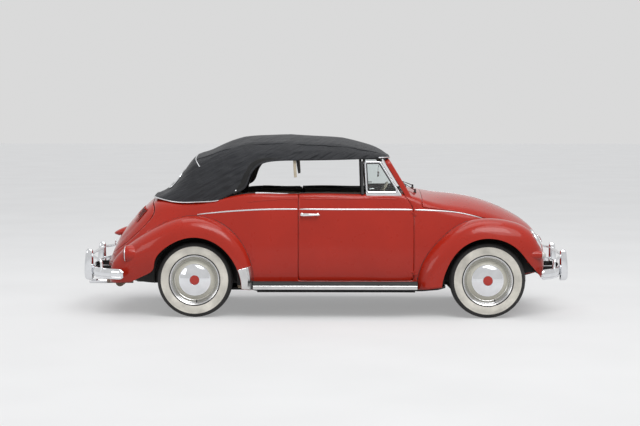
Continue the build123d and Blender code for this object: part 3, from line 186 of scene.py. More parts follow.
def smooth_line(points, count, closed=False):
    """A smooth curve through points, evenly resampled."""
    points = np.asarray(points, float)
    if closed:
        points = np.vstack([points[-2:], points, points[:3]])
    run = lengths(points)
    curve = spline(run, points)
    low, high = (run[2], run[-3]) if closed else (run[0], run[-1])
    dense = curve(np.linspace(low, high, max(200, 6 * count)))
    return resample(dense, count + 1)[:-1] if closed else resample(dense, count)


def bent(start, corner, end, t):
    """Points on the curve from start to end that a corner pulls out."""
    return (1 - t) ** 2 * start + 2 * t * (1 - t) * corner + t**2 * end


def cut_corner(before, corner, after, radius, steps):
    """A curve that takes the place of a corner."""
    start = corner + (before - corner) / np.linalg.norm(before - corner) * radius
    end = corner + (after - corner) / np.linalg.norm(after - corner) * radius
    return bent(start, corner, end, np.linspace(0, 1, steps)[:, None])


def rounded(corners, radii, steps=8):
    """A line through corners, each rounded by its own radius."""
    corners = np.asarray(corners, float)
    curves = [cut_corner(*three, radius, steps) for *three, radius in zip(corners, corners[1:], corners[2:], radii)]
    return np.vstack([corners[:1], *curves, corners[-1:]])


def rounded_loop(corners, radii, count):
    """A closed line round a polygon's corners, evenly spaced."""
    corners = np.asarray(corners, float)
    radii = np.broadcast_to(radii, len(corners))
    around = zip(np.roll(corners, 1, 0), corners, np.roll(corners, -1, 0), radii)
    points = np.vstack([cut_corner(*three, radius, 9) for *three, radius in around])
    return resample(np.vstack([points, points[:1]]), count + 1)[:-1]


def normals(line):
    """Unit vectors to the left of a plane line at each point."""
    ahead = np.gradient(line, axis=0)
    return units(np.stack([-ahead[:, 1], ahead[:, 0]], 1))


def both_halves(half):
    """A symmetrical line from half of it, which starts in the middle; (y, z) or (x, y, z) points."""
    mirror = (-1, 1) if half.shape[1] == 2 else (1, -1, 1)
    return np.vstack([half[:0:-1] * mirror, half])


# ---------------------------------------------------------------- making pieces
def piece(name, form, materials, body="body", marks=None, slot="", sharp=38.0, stands_for=None):
    """A mesh piece from a form: points in mm and faces.

    marks gives each face's material index, and stands_for the CAD node that the piece takes the place of.
    """
    verts, faces = form
    materials = materials if isinstance(materials, (list, tuple)) else [materials]
    mesh = bpy.data.meshes.new(name)
    mesh.from_pydata([tuple(v) for v in np.asarray(verts, float) * MM], [], [tuple(f) for f in faces])
    for material in materials:
        mesh.materials.append(material)
    if marks is not None:
        mesh.polygons.foreach_set("material_index", np.asarray(marks, np.int32))
    work = bmesh.new()
    work.from_mesh(mesh)
    bmesh.ops.remove_doubles(work, verts=work.verts, dist=WELD * MM)
    bmesh.ops.recalc_face_normals(work, faces=work.faces)
    limit = math.radians(sharp)
    for edge in work.edges:
        edge.smooth = not (len(edge.link_faces) == 2 and edge.calc_face_angle(0.0) > limit)
    for face in work.faces:
        face.smooth = True
    work.to_mesh(mesh)
    work.free()
    made = bpy.data.objects.new(name, mesh)
    bpy.context.scene.collection.objects.link(made)
    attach(made, body)
    slot = SLOT_OF.get(materials[0].name) if slot == "" else slot
    if stands_for:
        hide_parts(stands_for)
    return made


def grid_faces(rows, columns, wrap=False, base=0):
    """Quads over a grid of points; wrap closes it along its columns."""
    faces = []
    for i in range(rows - 1):
        near, far = base + i * columns, base + (i + 1) * columns
        for j in range(columns if wrap else columns - 1):
            k = (j + 1) % columns
            faces.append((near + j, near + k, far + k, far + j))
    return faces


def grid_form(rows, wrap=False, closed=False, capped=False):
    """Rows of points joined to a surface: wrap joins each row's ends, closed the last row to the first."""
    rows = np.asarray(rows, float)
    high, wide = rows.shape[:2]
    faces = grid_faces(high, wide, wrap)
    last = (high - 1) * wide
    if closed:
        faces += [(last + j, last + (j + 1) % wide, (j + 1) % wide, j) for j in range(wide)]
    if capped:
        faces += [tuple(reversed(range(wide))), tuple(range(last, last + wide))]
    return rows.reshape(-1, 3), faces


class Build:
    """Collects points and faces of several forms into one piece."""

    def __init__(self):
        self.verts, self.faces, self.marks = [], [], []

    def add(self, form, mark=0):
        verts, faces = form
        base = len(self.verts)
        self.verts.extend(np.asarray(verts, float).tolist())
        self.faces.extend([tuple(base + i for i in face) for face in faces])
        self.marks.extend([mark] * len(faces))
        return self

    def lathe(self, *given, mark=0):
        return self.add(lathe(*given), mark)

    def sweep(self, *given, **options):
        return self.add(sweep(*given, **options))

    def box(self, *given):
        return self.add(box_form(*given))

    def mirrored(self):
        """Adds the same forms on the car's other side."""
        base = len(self.verts)
        self.verts.extend([(x, -y, z) for x, y, z in self.verts])
        self.faces.extend([tuple(base + i for i in reversed(face)) for face in self.faces])
        self.marks.extend(self.marks)
        return self

    def form(self):
        return self.verts, self.faces

    def piece(self, name, materials, body="body", **options):
        return piece(name, self.form(), materials, body, self.marks, **options)


def sweep(path, profile, up=(0, 0, 1), closed=False, scale=None):
    """A profile of (side, up) points swept along a path, capped unless it is closed."""
    path, profile = np.asarray(path, float), np.asarray(profile, float)
    ahead = np.roll(path, -1, 0) - np.roll(path, 1, 0) if closed else np.gradient(path, axis=0)
    tangent = units(ahead)
    side = units(np.cross(tangent, np.broadcast_to(np.asarray(up, float), path.shape)))
    lift = np.cross(side, tangent)
    size = np.ones(len(path)) if scale is None else np.asarray(scale, float)
    rows = (
        path[:, None]
        + side[:, None] * (profile[None, :, 0] * size[:, None])[..., None]
        + lift[:, None] * (profile[None, :, 1] * size[:, None])[..., None]
    )
    return grid_form(rows, wrap=True, closed=closed, capped=not closed)


def circle(radius, count=12, squash=1.0):
    """A round or oval profile."""
    turns = full_turn(count)
    return np.stack([radius * np.cos(turns), radius * squash * np.sin(turns)], 1)


def rounded_box(width, height, radius, steps=4):
    """A rectangle with round corners as a profile."""
    points = []
    for k, (sx, sy) in enumerate(((1, 1), (-1, 1), (-1, -1), (1, -1))):
        for t in np.linspace(0, math.pi / 2, steps):
            x, y = math.cos(k * math.pi / 2 + t), math.sin(k * math.pi / 2 + t)
            points.append((sx * (width / 2 - radius) + radius * x, sy * (height / 2 - radius) + radius * y))
    return np.array(points)


def lathe(profile, origin, axis, count=64, closed=False):
    """A profile of (distance along the axis, radius) turned about an axis."""
    axis = np.asarray(axis, float) / np.linalg.norm(axis)
    first = np.array([1.0, 0.0, 0.0] if abs(axis[2]) > 0.95 else [0.0, 0.0, 1.0])
    first = first - axis * first.dot(axis)
    first /= np.linalg.norm(first)
    second = np.cross(axis, first)
    turns = full_turn(count)
    ring = first[None] * np.cos(turns)[:, None] + second[None] * np.sin(turns)[:, None]
    profile = np.asarray(profile, float)
    along, radius = profile[:, 0][:, None, None], profile[:, 1][:, None, None]
    return grid_form(np.asarray(origin, float) + along * axis + radius * ring[None], wrap=True, closed=closed)


def box_form(low, high, radius):
    """A box given by two corners, with edges cut at a small radius."""
    (x0, y0, z0), (x1, y1, z1) = low, high
    wide, tall, middle = abs(y1 - y0), abs(z1 - z0), [(y0 + y1) / 2, (z0 + z1) / 2]
    outer = rounded_box(wide, tall, radius) + middle
    inner = rounded_box(wide - 2 * radius, tall - 2 * radius, radius * 0.3) + middle
    rows = [(x0, inner), (x0 + radius, outer), (x1 - radius, outer), (x1, inner)]
    return grid_form([np.column_stack([np.full(len(p), x), p]) for x, p in rows], wrap=True, capped=True)


def clip(verts, faces, field):
    """The part of a surface where field, one number per point, is below zero, cut cleanly at zero."""
    verts = np.asarray(verts, float)
    new_verts, index, cuts, kept = [], {}, {}, []

    def old(i):
        if i not in index:
            index[i] = len(new_verts)
            new_verts.append(verts[i])
        return index[i]

    def cut(i, j):
        key = (min(i, j), max(i, j))
        if key not in cuts:
            share = field[i] / (field[i] - field[j])
            cuts[key] = len(new_verts)
            new_verts.append(verts[i] + share * (verts[j] - verts[i]))
        return cuts[key]

    inside = field < 0
    for face in faces:
        count = inside[list(face)].sum()
        if count == 0:
            continue
        if count == len(face):
            kept.append(tuple(old(i) for i in face))
            continue
        loop = []
        for i, j in zip(face, face[1:] + face[:1]):
            if inside[i]:
                loop.append(old(i))
            if inside[i] != inside[j]:
                loop.append(cut(i, j))
        if len(loop) > 2:
            kept.append(tuple(loop))
    return np.array(new_verts), kept


def border(faces):
    """Edges with one face, as they run round the surface."""
    edges = {}
    for face in faces:
        for i, j in zip(face, face[1:] + face[:1]):
            edges[(i, j)] = edges.get((i, j), 0) + 1
    return [edge for edge in edges if (edge[1], edge[0]) not in edges]


# ---------------------------------------------------------------- materials
class Nodes:
    """A material's node tree with short ways to add and join nodes."""

    def __init__(self, name):
        self.material = bpy.data.materials.new(name)
        self.material.use_nodes = True
        self.tree = self.material.node_tree
        self.shader = self.tree.nodes["Principled BSDF"]

    def add(self, kind, **settings):
        node = self.tree.nodes.new(kind)
        for key, value in settings.items():
            if hasattr(node, key):
                setattr(node, key, value)
            else:
                node.inputs[key.replace("_", " ")].default_value = value
        return node

    def join(self, source, target):
        self.tree.links.new(source, target)

    def coords(self, scale=(1, 1, 1)):
        place = self.add("ShaderNodeTexCoord")
        mapping = self.add("ShaderNodeMapping", Scale=scale)
        self.join(place.outputs["Object"], mapping.inputs["Vector"])
        return mapping.outputs["Vector"]

    def noise(self, scale, detail=3.0, roughness=0.5, vector=None):
        node = self.add("ShaderNodeTexNoise", Scale=scale, Detail=detail, Roughness=roughness)
        self.join(vector or self.coords(), node.inputs["Vector"])
        return node.outputs["Fac"]

    def ramp(self, factor, stops):
        """A blend between two colours."""
        node = self.add("ShaderNodeValToRGB")
        for element, (position, color) in zip(node.color_ramp.elements, stops):
            element.position, element.color = position, (*color, 1)
        self.join(factor, node.inputs["Fac"])
        return node.outputs["Color"]

    def cloudy(self, color, factor, low, high):
        """A colour that drifts between a darker and a lighter tone."""
        return self.ramp(factor, [(0.3, tone(color, low)), (0.7, tone(color, high))])

    def spread(self, factor, low, high):
        node = self.add("ShaderNodeMapRange", To_Min=low, To_Max=high)
        self.join(factor, node.inputs["Value"])
        return node.outputs["Result"]

    def bump(self, height, strength, distance, normal=None):
        node = self.add("ShaderNodeBump", Strength=strength, Distance=distance)
        self.join(height, node.inputs["Height"])
        if normal is not None:
            self.join(normal, node.inputs["Normal"])
        return node.outputs["Normal"]

    def set(self, **values):
        names = {
            "color": "Base Color", "metallic": "Metallic", "roughness": "Roughness", "coat": "Coat Weight",
            "coat_roughness": "Coat Roughness", "coat_ior": "Coat IOR", "sheen": "Sheen Weight",
            "transmission": "Transmission Weight", "ior": "IOR",
            "specular": "Specular IOR Level", "normal": "Normal",
        }
        for key, value in values.items():
            socket = self.shader.inputs[names[key]]
            if isinstance(value, bpy.types.NodeSocket):
                self.join(value, socket)
            elif hasattr(value, "__len__"):
                socket.default_value = (*value, 1)
            else:
                socket.default_value = value
        return self


def tone(color, factor):
    """A colour made darker or lighter."""
    return tuple(min(1.0, c * factor) for c in color)


def paint(name, color, roughness=0.28, coat=1.0):
    """Sprayed enamel under a clear coat, faintly cloudy and uneven in its shine."""
    n = Nodes(name)
    n.set(
        color=n.cloudy(color, n.noise(3.0, 4.0), 0.95, 1.05),
        roughness=n.spread(n.noise(14.0, 5.0), roughness * 0.85, roughness * 1.2),
        coat=coat,
        coat_roughness=0.04,
        coat_ior=1.4,
        specular=0.15,
    )
    return n.material


def metal(name, color, roughness, grain=40.0, variety=0.06, bump=0.01):
    """Plated or bare metal with slight unevenness in its shine."""
    n = Nodes(name)
    place = n.coords()
    n.set(
        color=n.cloudy(color, n.noise(grain * 0.3, 4.0, vector=place), 1 - variety, 1 + variety),
        metallic=1.0,
        roughness=n.spread(n.noise(grain, 5.0, vector=place), roughness * 0.6, roughness * 1.5),
        normal=n.bump(n.noise(grain * 8, 3.0, vector=place), bump, 0.001),
    )
    return n.material


def rubber(name, color, roughness=0.7, grain=600.0, bump=0.12):
    """Moulded rubber or matt plastic with a fine grain."""
    n = Nodes(name)
    n.set(
        color=n.cloudy(color, n.noise(9.0, 5.0), 0.8, 1.25),
        roughness=n.spread(n.noise(30.0, 4.0), roughness * 0.85, min(1.0, roughness * 1.15)),
        normal=n.bump(n.noise(grain, 4.0), bump, 0.0006),
    )
    return n.material


WAVE_PERIOD = 0.314  # of Blender's wave texture at scale 1, in metres


def canvas(name, color, thread=0.0016, sheen=0.25, creased=0.0, roughness=0.86, specular=0.25):
    """Closely woven top cloth: two crossing threads, faded in broad patches."""
    n = Nodes(name)
    place = n.coords()
    waves = []
    for direction in ("X", "Y"):
        wave = n.add(
            "ShaderNodeTexWave", wave_type="BANDS", bands_direction=direction, Scale=WAVE_PERIOD / thread,
            Distortion=0.6, Detail=1.0,
        )
        n.join(place, wave.inputs["Vector"])
        waves.append(wave.outputs["Fac"])
    weave = n.add("ShaderNodeMath", operation="MULTIPLY")
    n.join(waves[0], weave.inputs[0])
    n.join(waves[1], weave.inputs[1])
    fade = n.noise(4.0, 6.0, 0.6)
    fine = n.noise(420.0, 3.0)
    mixed = n.add("ShaderNodeMath", operation="MULTIPLY_ADD")
    n.join(fine, mixed.inputs[0])
    mixed.inputs[1].default_value = 0.35
    n.join(fade, mixed.inputs[2])
    lumps = n.bump(n.noise(26.0, 5.0), 0.10, 0.004)
    if creased:
        # long slanting creases, as cloth stretched between two corners has
        rotated = n.add("ShaderNodeMapping", Rotation=(0, math.radians(27), 0))
        n.join(place, rotated.inputs["Vector"])
        longer = n.add("ShaderNodeMapping", Scale=(4.0, 3.0, 24.0))
        n.join(rotated.outputs["Vector"], longer.inputs["Vector"])
        lumps = n.bump(n.noise(1.0, 2.0, 0.5, longer.outputs["Vector"]), creased, 0.035, lumps)
    n.set(
        color=n.ramp(mixed.outputs[0], [(0.35, tone(color, 0.72)), (0.95, tone(color, 1.45))]),
        roughness=roughness,
        sheen=sheen,
        specular=specular,
        normal=n.bump(weave.outputs[0], 0.35, 0.0006, lumps),
    )
    return n.material


def leather(name, color, roughness=0.48):
    """Grained vinyl: small cells, fine creases and worn, lighter high spots."""
    n = Nodes(name)
    cells = n.add("ShaderNodeTexVoronoi", feature="DISTANCE_TO_EDGE", Scale=420.0)
    n.join(n.coords(), cells.inputs["Vector"])
    n.set(
        color=n.cloudy(color, n.noise(11.0, 5.0), 0.82, 1.15),
        roughness=n.spread(n.noise(60.0, 4.0), roughness * 0.8, roughness * 1.2),
        specular=0.45,
        normal=n.bump(cells.outputs["Distance"], 0.25, 0.0006, n.bump(n.noise(40.0, 5.0), 0.08, 0.002)),
    )
    return n.material


def clear(name, color, roughness=0.02):
    """Glass that light passes through."""
    n = Nodes(name)
    n.set(
        color=n.cloudy(color, n.noise(5.0, 2.0), 0.97, 1.0),
        roughness=roughness,
        transmission=1.0,
        ior=1.45,
        normal=n.bump(n.noise(12.0, 2.0), 0.004, 0.002),
    )
    return n.material


CORAL = (0.42, 0.020, 0.008)
CREAM = (0.62, 0.60, 0.52)
IVORY = (0.66, 0.60, 0.47)

PAINT = paint("body_enamel", CORAL, coat=0.7)
# the body colour at half brightness, painted shade for the panels' hidden and inner sides; its duller, thinner finish
# is its own
SHADED_INNER_PAINT = paint("inner_enamel_painted_shade", tone(CORAL, 0.5), roughness=0.5, coat=0.2)
WHEEL_PAINT = paint("wheel_enamel", CREAM, roughness=0.3, coat=0.7)
RED_PAINT = paint("cap_enamel", (0.45, 0.03, 0.02), roughness=0.25)
STRIP_RUBBER = rubber("strip_rubber", (0.008, 0.008, 0.008), 0.85)
BLACK_PAINT = paint("chassis_black", (0.016, 0.016, 0.017), roughness=0.5, coat=0.15)
UNDERSEAL = rubber("underseal", (0.022, 0.021, 0.020), 0.85, 160.0, 0.5)
CHROME = metal("chrome_plate", (0.78, 0.79, 0.81), 0.07)
DULL_CHROME = metal("satin_trim", (0.66, 0.66, 0.66), 0.2, 60.0)
ALLOY = metal("cast_alloy", (0.42, 0.42, 0.41), 0.48, 120.0, 0.2, 0.15)
STEEL = metal("bare_steel", (0.30, 0.28, 0.26), 0.42, 90.0, 0.25, 0.1)
RUSTY = metal("exhaust_steel", (0.20, 0.15, 0.12), 0.6, 60.0, 0.4, 0.2)
RUBBER = rubber("black_rubber", (0.02, 0.02, 0.02), 0.62)
MAT = rubber("mat_rubber", (0.028, 0.028, 0.028), 0.75)
TYRE_BLACK = rubber("tyre_black", (0.022, 0.021, 0.021), 0.78, 300.0, 0.3)
WHITEWALL = rubber("whitewall", (0.68, 0.65, 0.58), 0.6, 200.0, 0.06)
CANVAS = canvas("top_canvas", (0.012, 0.013, 0.016), sheen=0.08, creased=0.85, roughness=0.62, specular=0.4)
LINING = canvas("top_lining", (0.10, 0.095, 0.085), sheen=0.1)
SEAT_VINYL = leather("seat_vinyl", (0.42, 0.34, 0.24))
PIPING = leather("seat_piping", (0.55, 0.48, 0.36), 0.4)
CARPET = canvas("floor_carpet", (0.05, 0.045, 0.04), 0.004, 0.4)
IVORY_PLASTIC = paint("ivory_plastic", IVORY, roughness=0.3, coat=0.4)
GLASS = clear("window_glass", (0.92, 0.96, 0.95))
LENS = clear("lamp_glass", (0.96, 0.97, 0.98), 0.03)
RED_LENS = clear("red_lens", (0.55, 0.02, 0.015), 0.08)
PALE_LENS = paint("pale_lens", (0.62, 0.61, 0.57), roughness=0.22, coat=0.9)
DIAL_BLACK = rubber("dial_black", (0.012, 0.012, 0.013), 0.35, 300.0, 0.02)
BROWN_PLASTIC = rubber("brown_plastic", (0.10, 0.045, 0.02), 0.4, 400.0, 0.03)
MIRROR = metal("mirror_glass", (0.86, 0.88, 0.89), 0.02)

# the slot name of each material: a piece works out its slot from its first material, unless it asks for another or for
# none, and leaves it unused
SLOT_GROUPS = {
    "body_paint": (PAINT,),
    "black_paint": (BLACK_PAINT, RUBBER, STRIP_RUBBER, MAT, UNDERSEAL),
    "chrome": (CHROME, DULL_CHROME, MIRROR),
    "cast": (STEEL, ALLOY),
    "glass": (GLASS,),
    "lens_glass": (LENS, PALE_LENS, RED_LENS),
    "plastic": (IVORY_PLASTIC, DIAL_BLACK, BROWN_PLASTIC),
    "seat_leather": (SEAT_VINYL, PIPING),
    "top_fabric": (CANVAS, LINING, CARPET),
    "tyre": (TYRE_BLACK,),
    "wheel_paint": (WHEEL_PAINT,),
}
SLOT_OF = {material.name: slot for slot, group in SLOT_GROUPS.items() for material in group}


# ---------------------------------------------------------------- the hull as a smooth surface
HULL_AT = spline([row[0] for row in HULL], [row[1:] for row in HULL])
CROWN_STEPS, CORNER_STEPS, SIDE_STEPS = 22, 8, 30
HULL_STEP = 13.0


def half_section(z_bottom, w_bottom, w_middle, z_middle, w_shoulder, z_shoulder, z_crown, radius):
    """Half of a cross section, from the crown's middle over the shoulder and down the side, as (y, z)."""
    crown = arc((-w_shoulder, z_shoulder), (0, z_crown), (w_shoulder, z_shoulder), 121)[60:]
    side = arc((w_shoulder, z_shoulder), (w_middle, z_middle), (w_bottom, z_bottom), 121)
    reach = radius * 0.85
    crown_run, side_run = lengths(crown), lengths(side)
    reach_crown, reach_side = min(reach, crown_run[-1] * 0.8), min(reach, side_run[-1] * 0.6)

    def on(line, run, at):
        return np.stack([np.interp(at, run, line[:, 0]), np.interp(at, run, line[:, 1])], 1)

    top = on(crown, crown_run, np.linspace(0, crown_run[-1] - reach_crown, CROWN_STEPS))
    flank = on(side, side_run, np.linspace(reach_side, side_run[-1], SIDE_STEPS))
    shoulder = bent(top[-1], crown[-1], flank[0], np.linspace(0, 1, CORNER_STEPS + 2)[1:-1, None])
    return np.vstack([top, shoulder, flank])


@lru_cache(maxsize=None)
def hull_half(x):
    return half_section(*HULL_AT(x)[0])


# columns: how far past the last section, share of its size
NOSE_CAP = ((5, 0.94), (9, 0.84), (12, 0.66), (14, 0.4), (15, 0.1))


def hull_grid():
    """The whole hull as a grid of points, closed over the nose and tail."""
    low, high = HULL[0][0], HULL[-1][0]
    rows = []
    for x in np.linspace(low, high, int((high - low) / HULL_STEP) + 1):
        ring = both_halves(hull_half(x))
        rows.append(np.column_stack([np.full(len(ring), x), ring]))
    for end, outward in ((0, -1), (-1, 1)):
        first = rows[end].copy()
        middle = np.array([first[0, 0], 0.0, (first[:, 2].min() + first[:, 2].max()) / 2])
        caps = []
        for past, share in NOSE_CAP:
            ring = middle + (first - middle) * share
            ring[:, 0] = first[0, 0] + outward * past
            caps.append(ring)
        rows = rows + caps if end else caps[::-1] + rows
    return np.array(rows)


def hull_width(x, z):
    """The hull's half width at a height below its shoulder."""
    half = hull_half(x)
    flank = half[CROWN_STEPS:]
    order = np.argsort(flank[:, 1])
    return float(np.interp(z, flank[order, 1], flank[order, 0]))


def hull_top(x, y):
    """The hull's height at a distance from its middle."""
    half = hull_half(x)[: CROWN_STEPS + CORNER_STEPS + 6]
    return float(np.interp(abs(y), half[:, 0], half[:, 1]))


GRID_VERTS, GRID_FACES = grid_form(hull_grid())
X, Y, Z = GRID_VERTS.T


def union(*fields):
    return np.minimum.reduce(fields)


def meet(*fields):
    return np.maximum.reduce(fields)


def soft_meet(a, b, radius):
    """The overlap of two regions with a rounded corner."""
    h = np.clip(0.5 + 0.5 * (a - b) / radius, 0, 1)
    return b + (a - b) * h + radius * h * (1 - h)


HOOD_EDGE = spline([p[0] for p in HOOD_LINE], [p[1] for p in HOOD_LINE])


def hood_field(x, z, grow):
    """Below zero over the hood, grown by a gap."""
    line = HOOD_EDGE(x)
    slope = (HOOD_EDGE(x + 2) - HOOD_EDGE(x - 2)) / 4
    return soft_meet((line - grow - z) / np.sqrt(1 + slope**2), HOOD_REAR_X - grow - x, 16)


def door_field(x, y, z, grow):
    """Below zero over both doors, grown by a gap."""
    slant = np.array([BELT_Z - DOOR_KINK_Z, DOOR_FRONT_X - DOOR_TOP_FRONT_X])
    slant = slant / np.linalg.norm(slant)
    front = soft_meet(x - DOOR_FRONT_X - grow, (x - DOOR_FRONT_X) * slant[0] + (z - DOOR_KINK_Z) * slant[1] - grow, 40)
    sides = soft_meet(front, DOOR_BOTTOM_Z - grow - z, 30)
    sides = soft_meet(sides, DOOR_REAR_X - grow - x, 22)
    return meet(sides, 500 - np.abs(y))


# columns: half width, height of the engine lid's outline
LID_OUTLINE = (
    (0, 950), (200, 945), (345, 922), (438, 886), (482, 834), (490, 768), (478, 690), (436, 606), (344, 522),
    (180, 486),
    (0, 478),
)
LID_LOOP = smooth_line([*LID_OUTLINE, *((-y, z) for y, z in LID_OUTLINE[-2:0:-1])], 240, closed=True)


def loop_field(a, b, loop, grow):
    """Signed distance to a closed line, below zero inside it, grown by a gap."""
    start, run = loop, np.roll(loop, -1, 0) - loop
    points = np.stack([a, b], 1)
    best = np.full(len(points), 1e9)
    inside = np.zeros(len(points), bool)
    for (sx, sy), (rx, ry) in zip(start, run):
        share = np.clip(((points[:, 0] - sx) * rx + (points[:, 1] - sy) * ry) / (rx * rx + ry * ry), 0, 1)
        away = np.hypot(points[:, 0] - sx - share * rx, points[:, 1] - sy - share * ry)
        best = np.minimum(best, away)
        crosses = ((sy > points[:, 1]) != (sy + ry > points[:, 1])) & (
            points[:, 0] < rx * (points[:, 1] - sy) / (ry if ry else 1e-9) + sx
        )
        inside ^= crosses
    return np.where(inside, -best, best) - grow


def lid_field(x, y, z, grow):
    return meet(loop_field(y, z, LID_LOOP, grow), x + 1340)


# columns: x, half width of the cabin's opening
COCKPIT_EDGE = (
    (640, 0), (640, 400), (600, 540), (480, 556), (0, 558), (-500, 556), (-780, 548), (-1000, 510), (-1180, 430),
    (-1280, 300), (-1300, 0),
)
COCKPIT_LOOP = smooth_line(
    [*COCKPIT_EDGE, *((x, -y) for x, y in COCKPIT_EDGE[-2:0:-1])], 260, closed=True
)


def well_field(x, y, z):
    """Below zero over the wheel openings."""
    wells = []
    for axle_x, inner_y in ((FRONT_AXLE_X, 395), (REAR_AXLE_X, 520)):
        round_part = np.hypot(x - axle_x, z - AXLE_Z) - WELL_RADIUS
        lower = meet(np.abs(x - axle_x) - WELL_RADIUS, z - AXLE_Z)
        wells.append(meet(union(round_part, lower), inner_y - np.abs(y)))
    return union(*wells)


HOOD_FIELD = {grow: hood_field(X, Z, grow) for grow in (0.0, GAP)}
DOOR_FIELD = {grow: door_field(X, Y, Z, grow) for grow in (0.0, GAP)}
LID_FIELD = {grow: lid_field(X, Y, Z, grow) for grow in (0.0, GAP)}
COCKPIT_FIELD = meet(loop_field(X, Y, COCKPIT_LOOP, 0.0), 900 - Z)


def panel(field):
    return clip(GRID_VERTS, GRID_FACES, field)


def two_sided(name, form, thick, outer=PAINT, inner=None, body="body", slot="", stands_for=None):
    """A panel with its own thickness; inner is the material of its hidden side."""
    # painted panels get the half-bright inner enamel, painted shade, on their hidden side
    inner = inner or (SHADED_INNER_PAINT if outer == PAINT else outer)
    made = piece(name, form, [outer, inner], body, slot=slot, stands_for=stands_for)
    shell = made.modifiers.new("thickness", "SOLIDIFY")
    shell.thickness = thick * MM
    shell.offset = -1.0
    shell.material_offset = 1
    shell.material_offset_rim = 0
    return made


def door_outline(grow):
    """The door's edge in (x, z), from the belt at its rear, under it and up to the belt at its front."""
    return resample(
        rounded(
            [
                (DOOR_REAR_X - grow, BELT_Z - 12), (DOOR_REAR_X - grow, DOOR_BOTTOM_Z - grow),
                (DOOR_FRONT_X + grow, DOOR_BOTTOM_Z - grow), (DOOR_FRONT_X + grow, DOOR_KINK_Z),
                (DOOR_TOP_FRONT_X + grow + 6, BELT_Z - 12),
            ],
            (16, 22, 30),
        ),
        160,
    )


def edge_strip(line, side, depths):
    """A strip that starts on the hull's side along a line in (x, z) and goes in by each depth."""
    return grid_form([[(x, side * (hull_width(x, z) - depth), z) for x, z in line] for depth in depths])


def under_wing(x, y, z):
    """Whether a place on the hull's side is covered by a wing or lies below one."""
    if abs(y) < 200 or x > 1762 or (abs(y) < 330 and x > 1690 and z > 415):
        return False
    for table, axle_x, low_x, high_x in ((REAR_WING, REAR_AXLE_X, -1700, -640), (FRONT_WING, FRONT_AXLE_X, 762, 1762)):
        turn = math.degrees(math.atan2(z - AXLE_Z, x - axle_x))
        if z < AXLE_Z + 14 and low_x < x < high_x:
            return True
        if table[0][0] <= turn <= table[-1][0]:
            reach = np.interp(turn, [row[0] for row in table], [row[5] for row in table])
            if math.hypot(x - axle_x, z - AXLE_Z) < reach - 4:
                return True
    return False


def make_shell():
    """The fixed bodywork: sides, cowl, rear deck, tail and nose, with the door openings' jambs."""
    field = meet(-HOOD_FIELD[GAP], -DOOR_FIELD[GAP], -LID_FIELD[GAP], -COCKPIT_FIELD, -well_field(X, Y, Z))
    made = two_sided("body_shell_skin", panel(field), 3.0, stands_for="body_shell")
    made.data.materials.append(UNDERSEAL)
    for face in made.data.polygons:
        if under_wing(*face.center / MM):
            face.material_index = 2
    jambs = Build()
    line = door_outline(GAP)
    for side in (-1, 1):
        jambs.add(edge_strip(line, side, (0.5, 22, 24, 56)))
    two_sided("door_jambs", jambs.form(), 2.0)


def make_aprons():
    """Closes the nose and the tail below their middles, between the lower ends of the hull's caps."""
    build = Build()
    for row, outward in ((HULL[0], -1), (HULL[-1], 1)):
        half = hull_half(row[0])
        foot_y, foot_z = half[-1]
        middle_z = (half[:, 1].min() + half[:, 1].max()) / 2
        rows = [
            [
                (row[0] + outward * past, foot_y * share * across, middle_z + (foot_z - middle_z) * share)
                for across in np.linspace(-1, 1, 9)
            ]
            for past, share in ((-60, 1.0), (0, 1.0), *NOSE_CAP)
        ]
        build.add(grid_form(rows))
    two_sided("end_aprons", build.form(), 2.5)


def make_doors():
    """Each door: its skin, its edges, and the inner panel that they end on."""
    middle = np.array([250.0, 680.0])
    for side, word in SIDES:
        body = f"door_{word}"
        field = meet(DOOR_FIELD[0.0], -COCKPIT_FIELD, -side * Y)
        two_sided(f"door_{word}_skin", panel(field), 2.0, body=body, stands_for=body)
        edges = Build().add(edge_strip(door_outline(0.0), side, (0.5, 26, DOOR_DEPTH)))
        inside = door_outline(-2.0)
        rows = []
        for share in np.linspace(0, 1, 24):
            ring = middle + (inside - middle) * (1 - share * 0.999)
            rows.append([(x, side * (hull_width(x, z) - DOOR_DEPTH), z) for x, z in ring])
        edges.add(grid_form(rows))
        two_sided(f"door_{word}_inner", edges.form(), 1.0, body=body)


def make_hood():
    two_sided("hood_skin", panel(HOOD_FIELD[0.0]), 8.0, body="hood", stands_for="hood")


def make_engine_lid():
    """The engine lid, whose middle stands a little proud of its border."""
    verts, faces = panel(LID_FIELD[0.0])
    inside = np.clip((-loop_field(verts[:, 1], verts[:, 2], LID_LOOP, 0.0) - 92) / 30, 0, 1)
    lift = 6.0 * inside**2 * (3 - 2 * inside)
    verts = verts + lift[:, None] * np.array([-0.72, 0, 0.69])
    two_sided("engine_lid_skin", (verts, faces), 8.0, body="engine_lid", stands_for="engine_lid")


make_shell()
make_aprons()
make_doors()
make_hood()
make_engine_lid()


# ---------------------------------------------------------------- wings
WING_FULL = 0.76
HEADLIGHT_PLACE, HEADLIGHT_TILT, HEADLIGHT_HOLE = (1735.0, 555.0, 631.0), math.radians(26.0), 99.5


def wing_profile(row, steps=26):
    """A wing's section as (r, w) points from its lip over the crown to its inner end."""
    r_lip, w_lip, r_crown, w_crown, r_in, w_in = row
    belly = (r_lip + 0.68 * (r_crown - r_lip), w_crown + WING_FULL * (w_lip - w_crown))
    roof = ((r_crown + r_in) / 2 + 5, (w_crown + w_in) / 2)
    return smooth_line([(r_lip, w_lip), belly, (r_crown, w_crown), roof, (r_in, w_in)], steps)


def on_spoke(axle_x, angle, r, w, side):
    turn = math.radians(angle)
    return (axle_x + r * math.cos(turn), side * w, AXLE_Z + r * math.sin(turn))


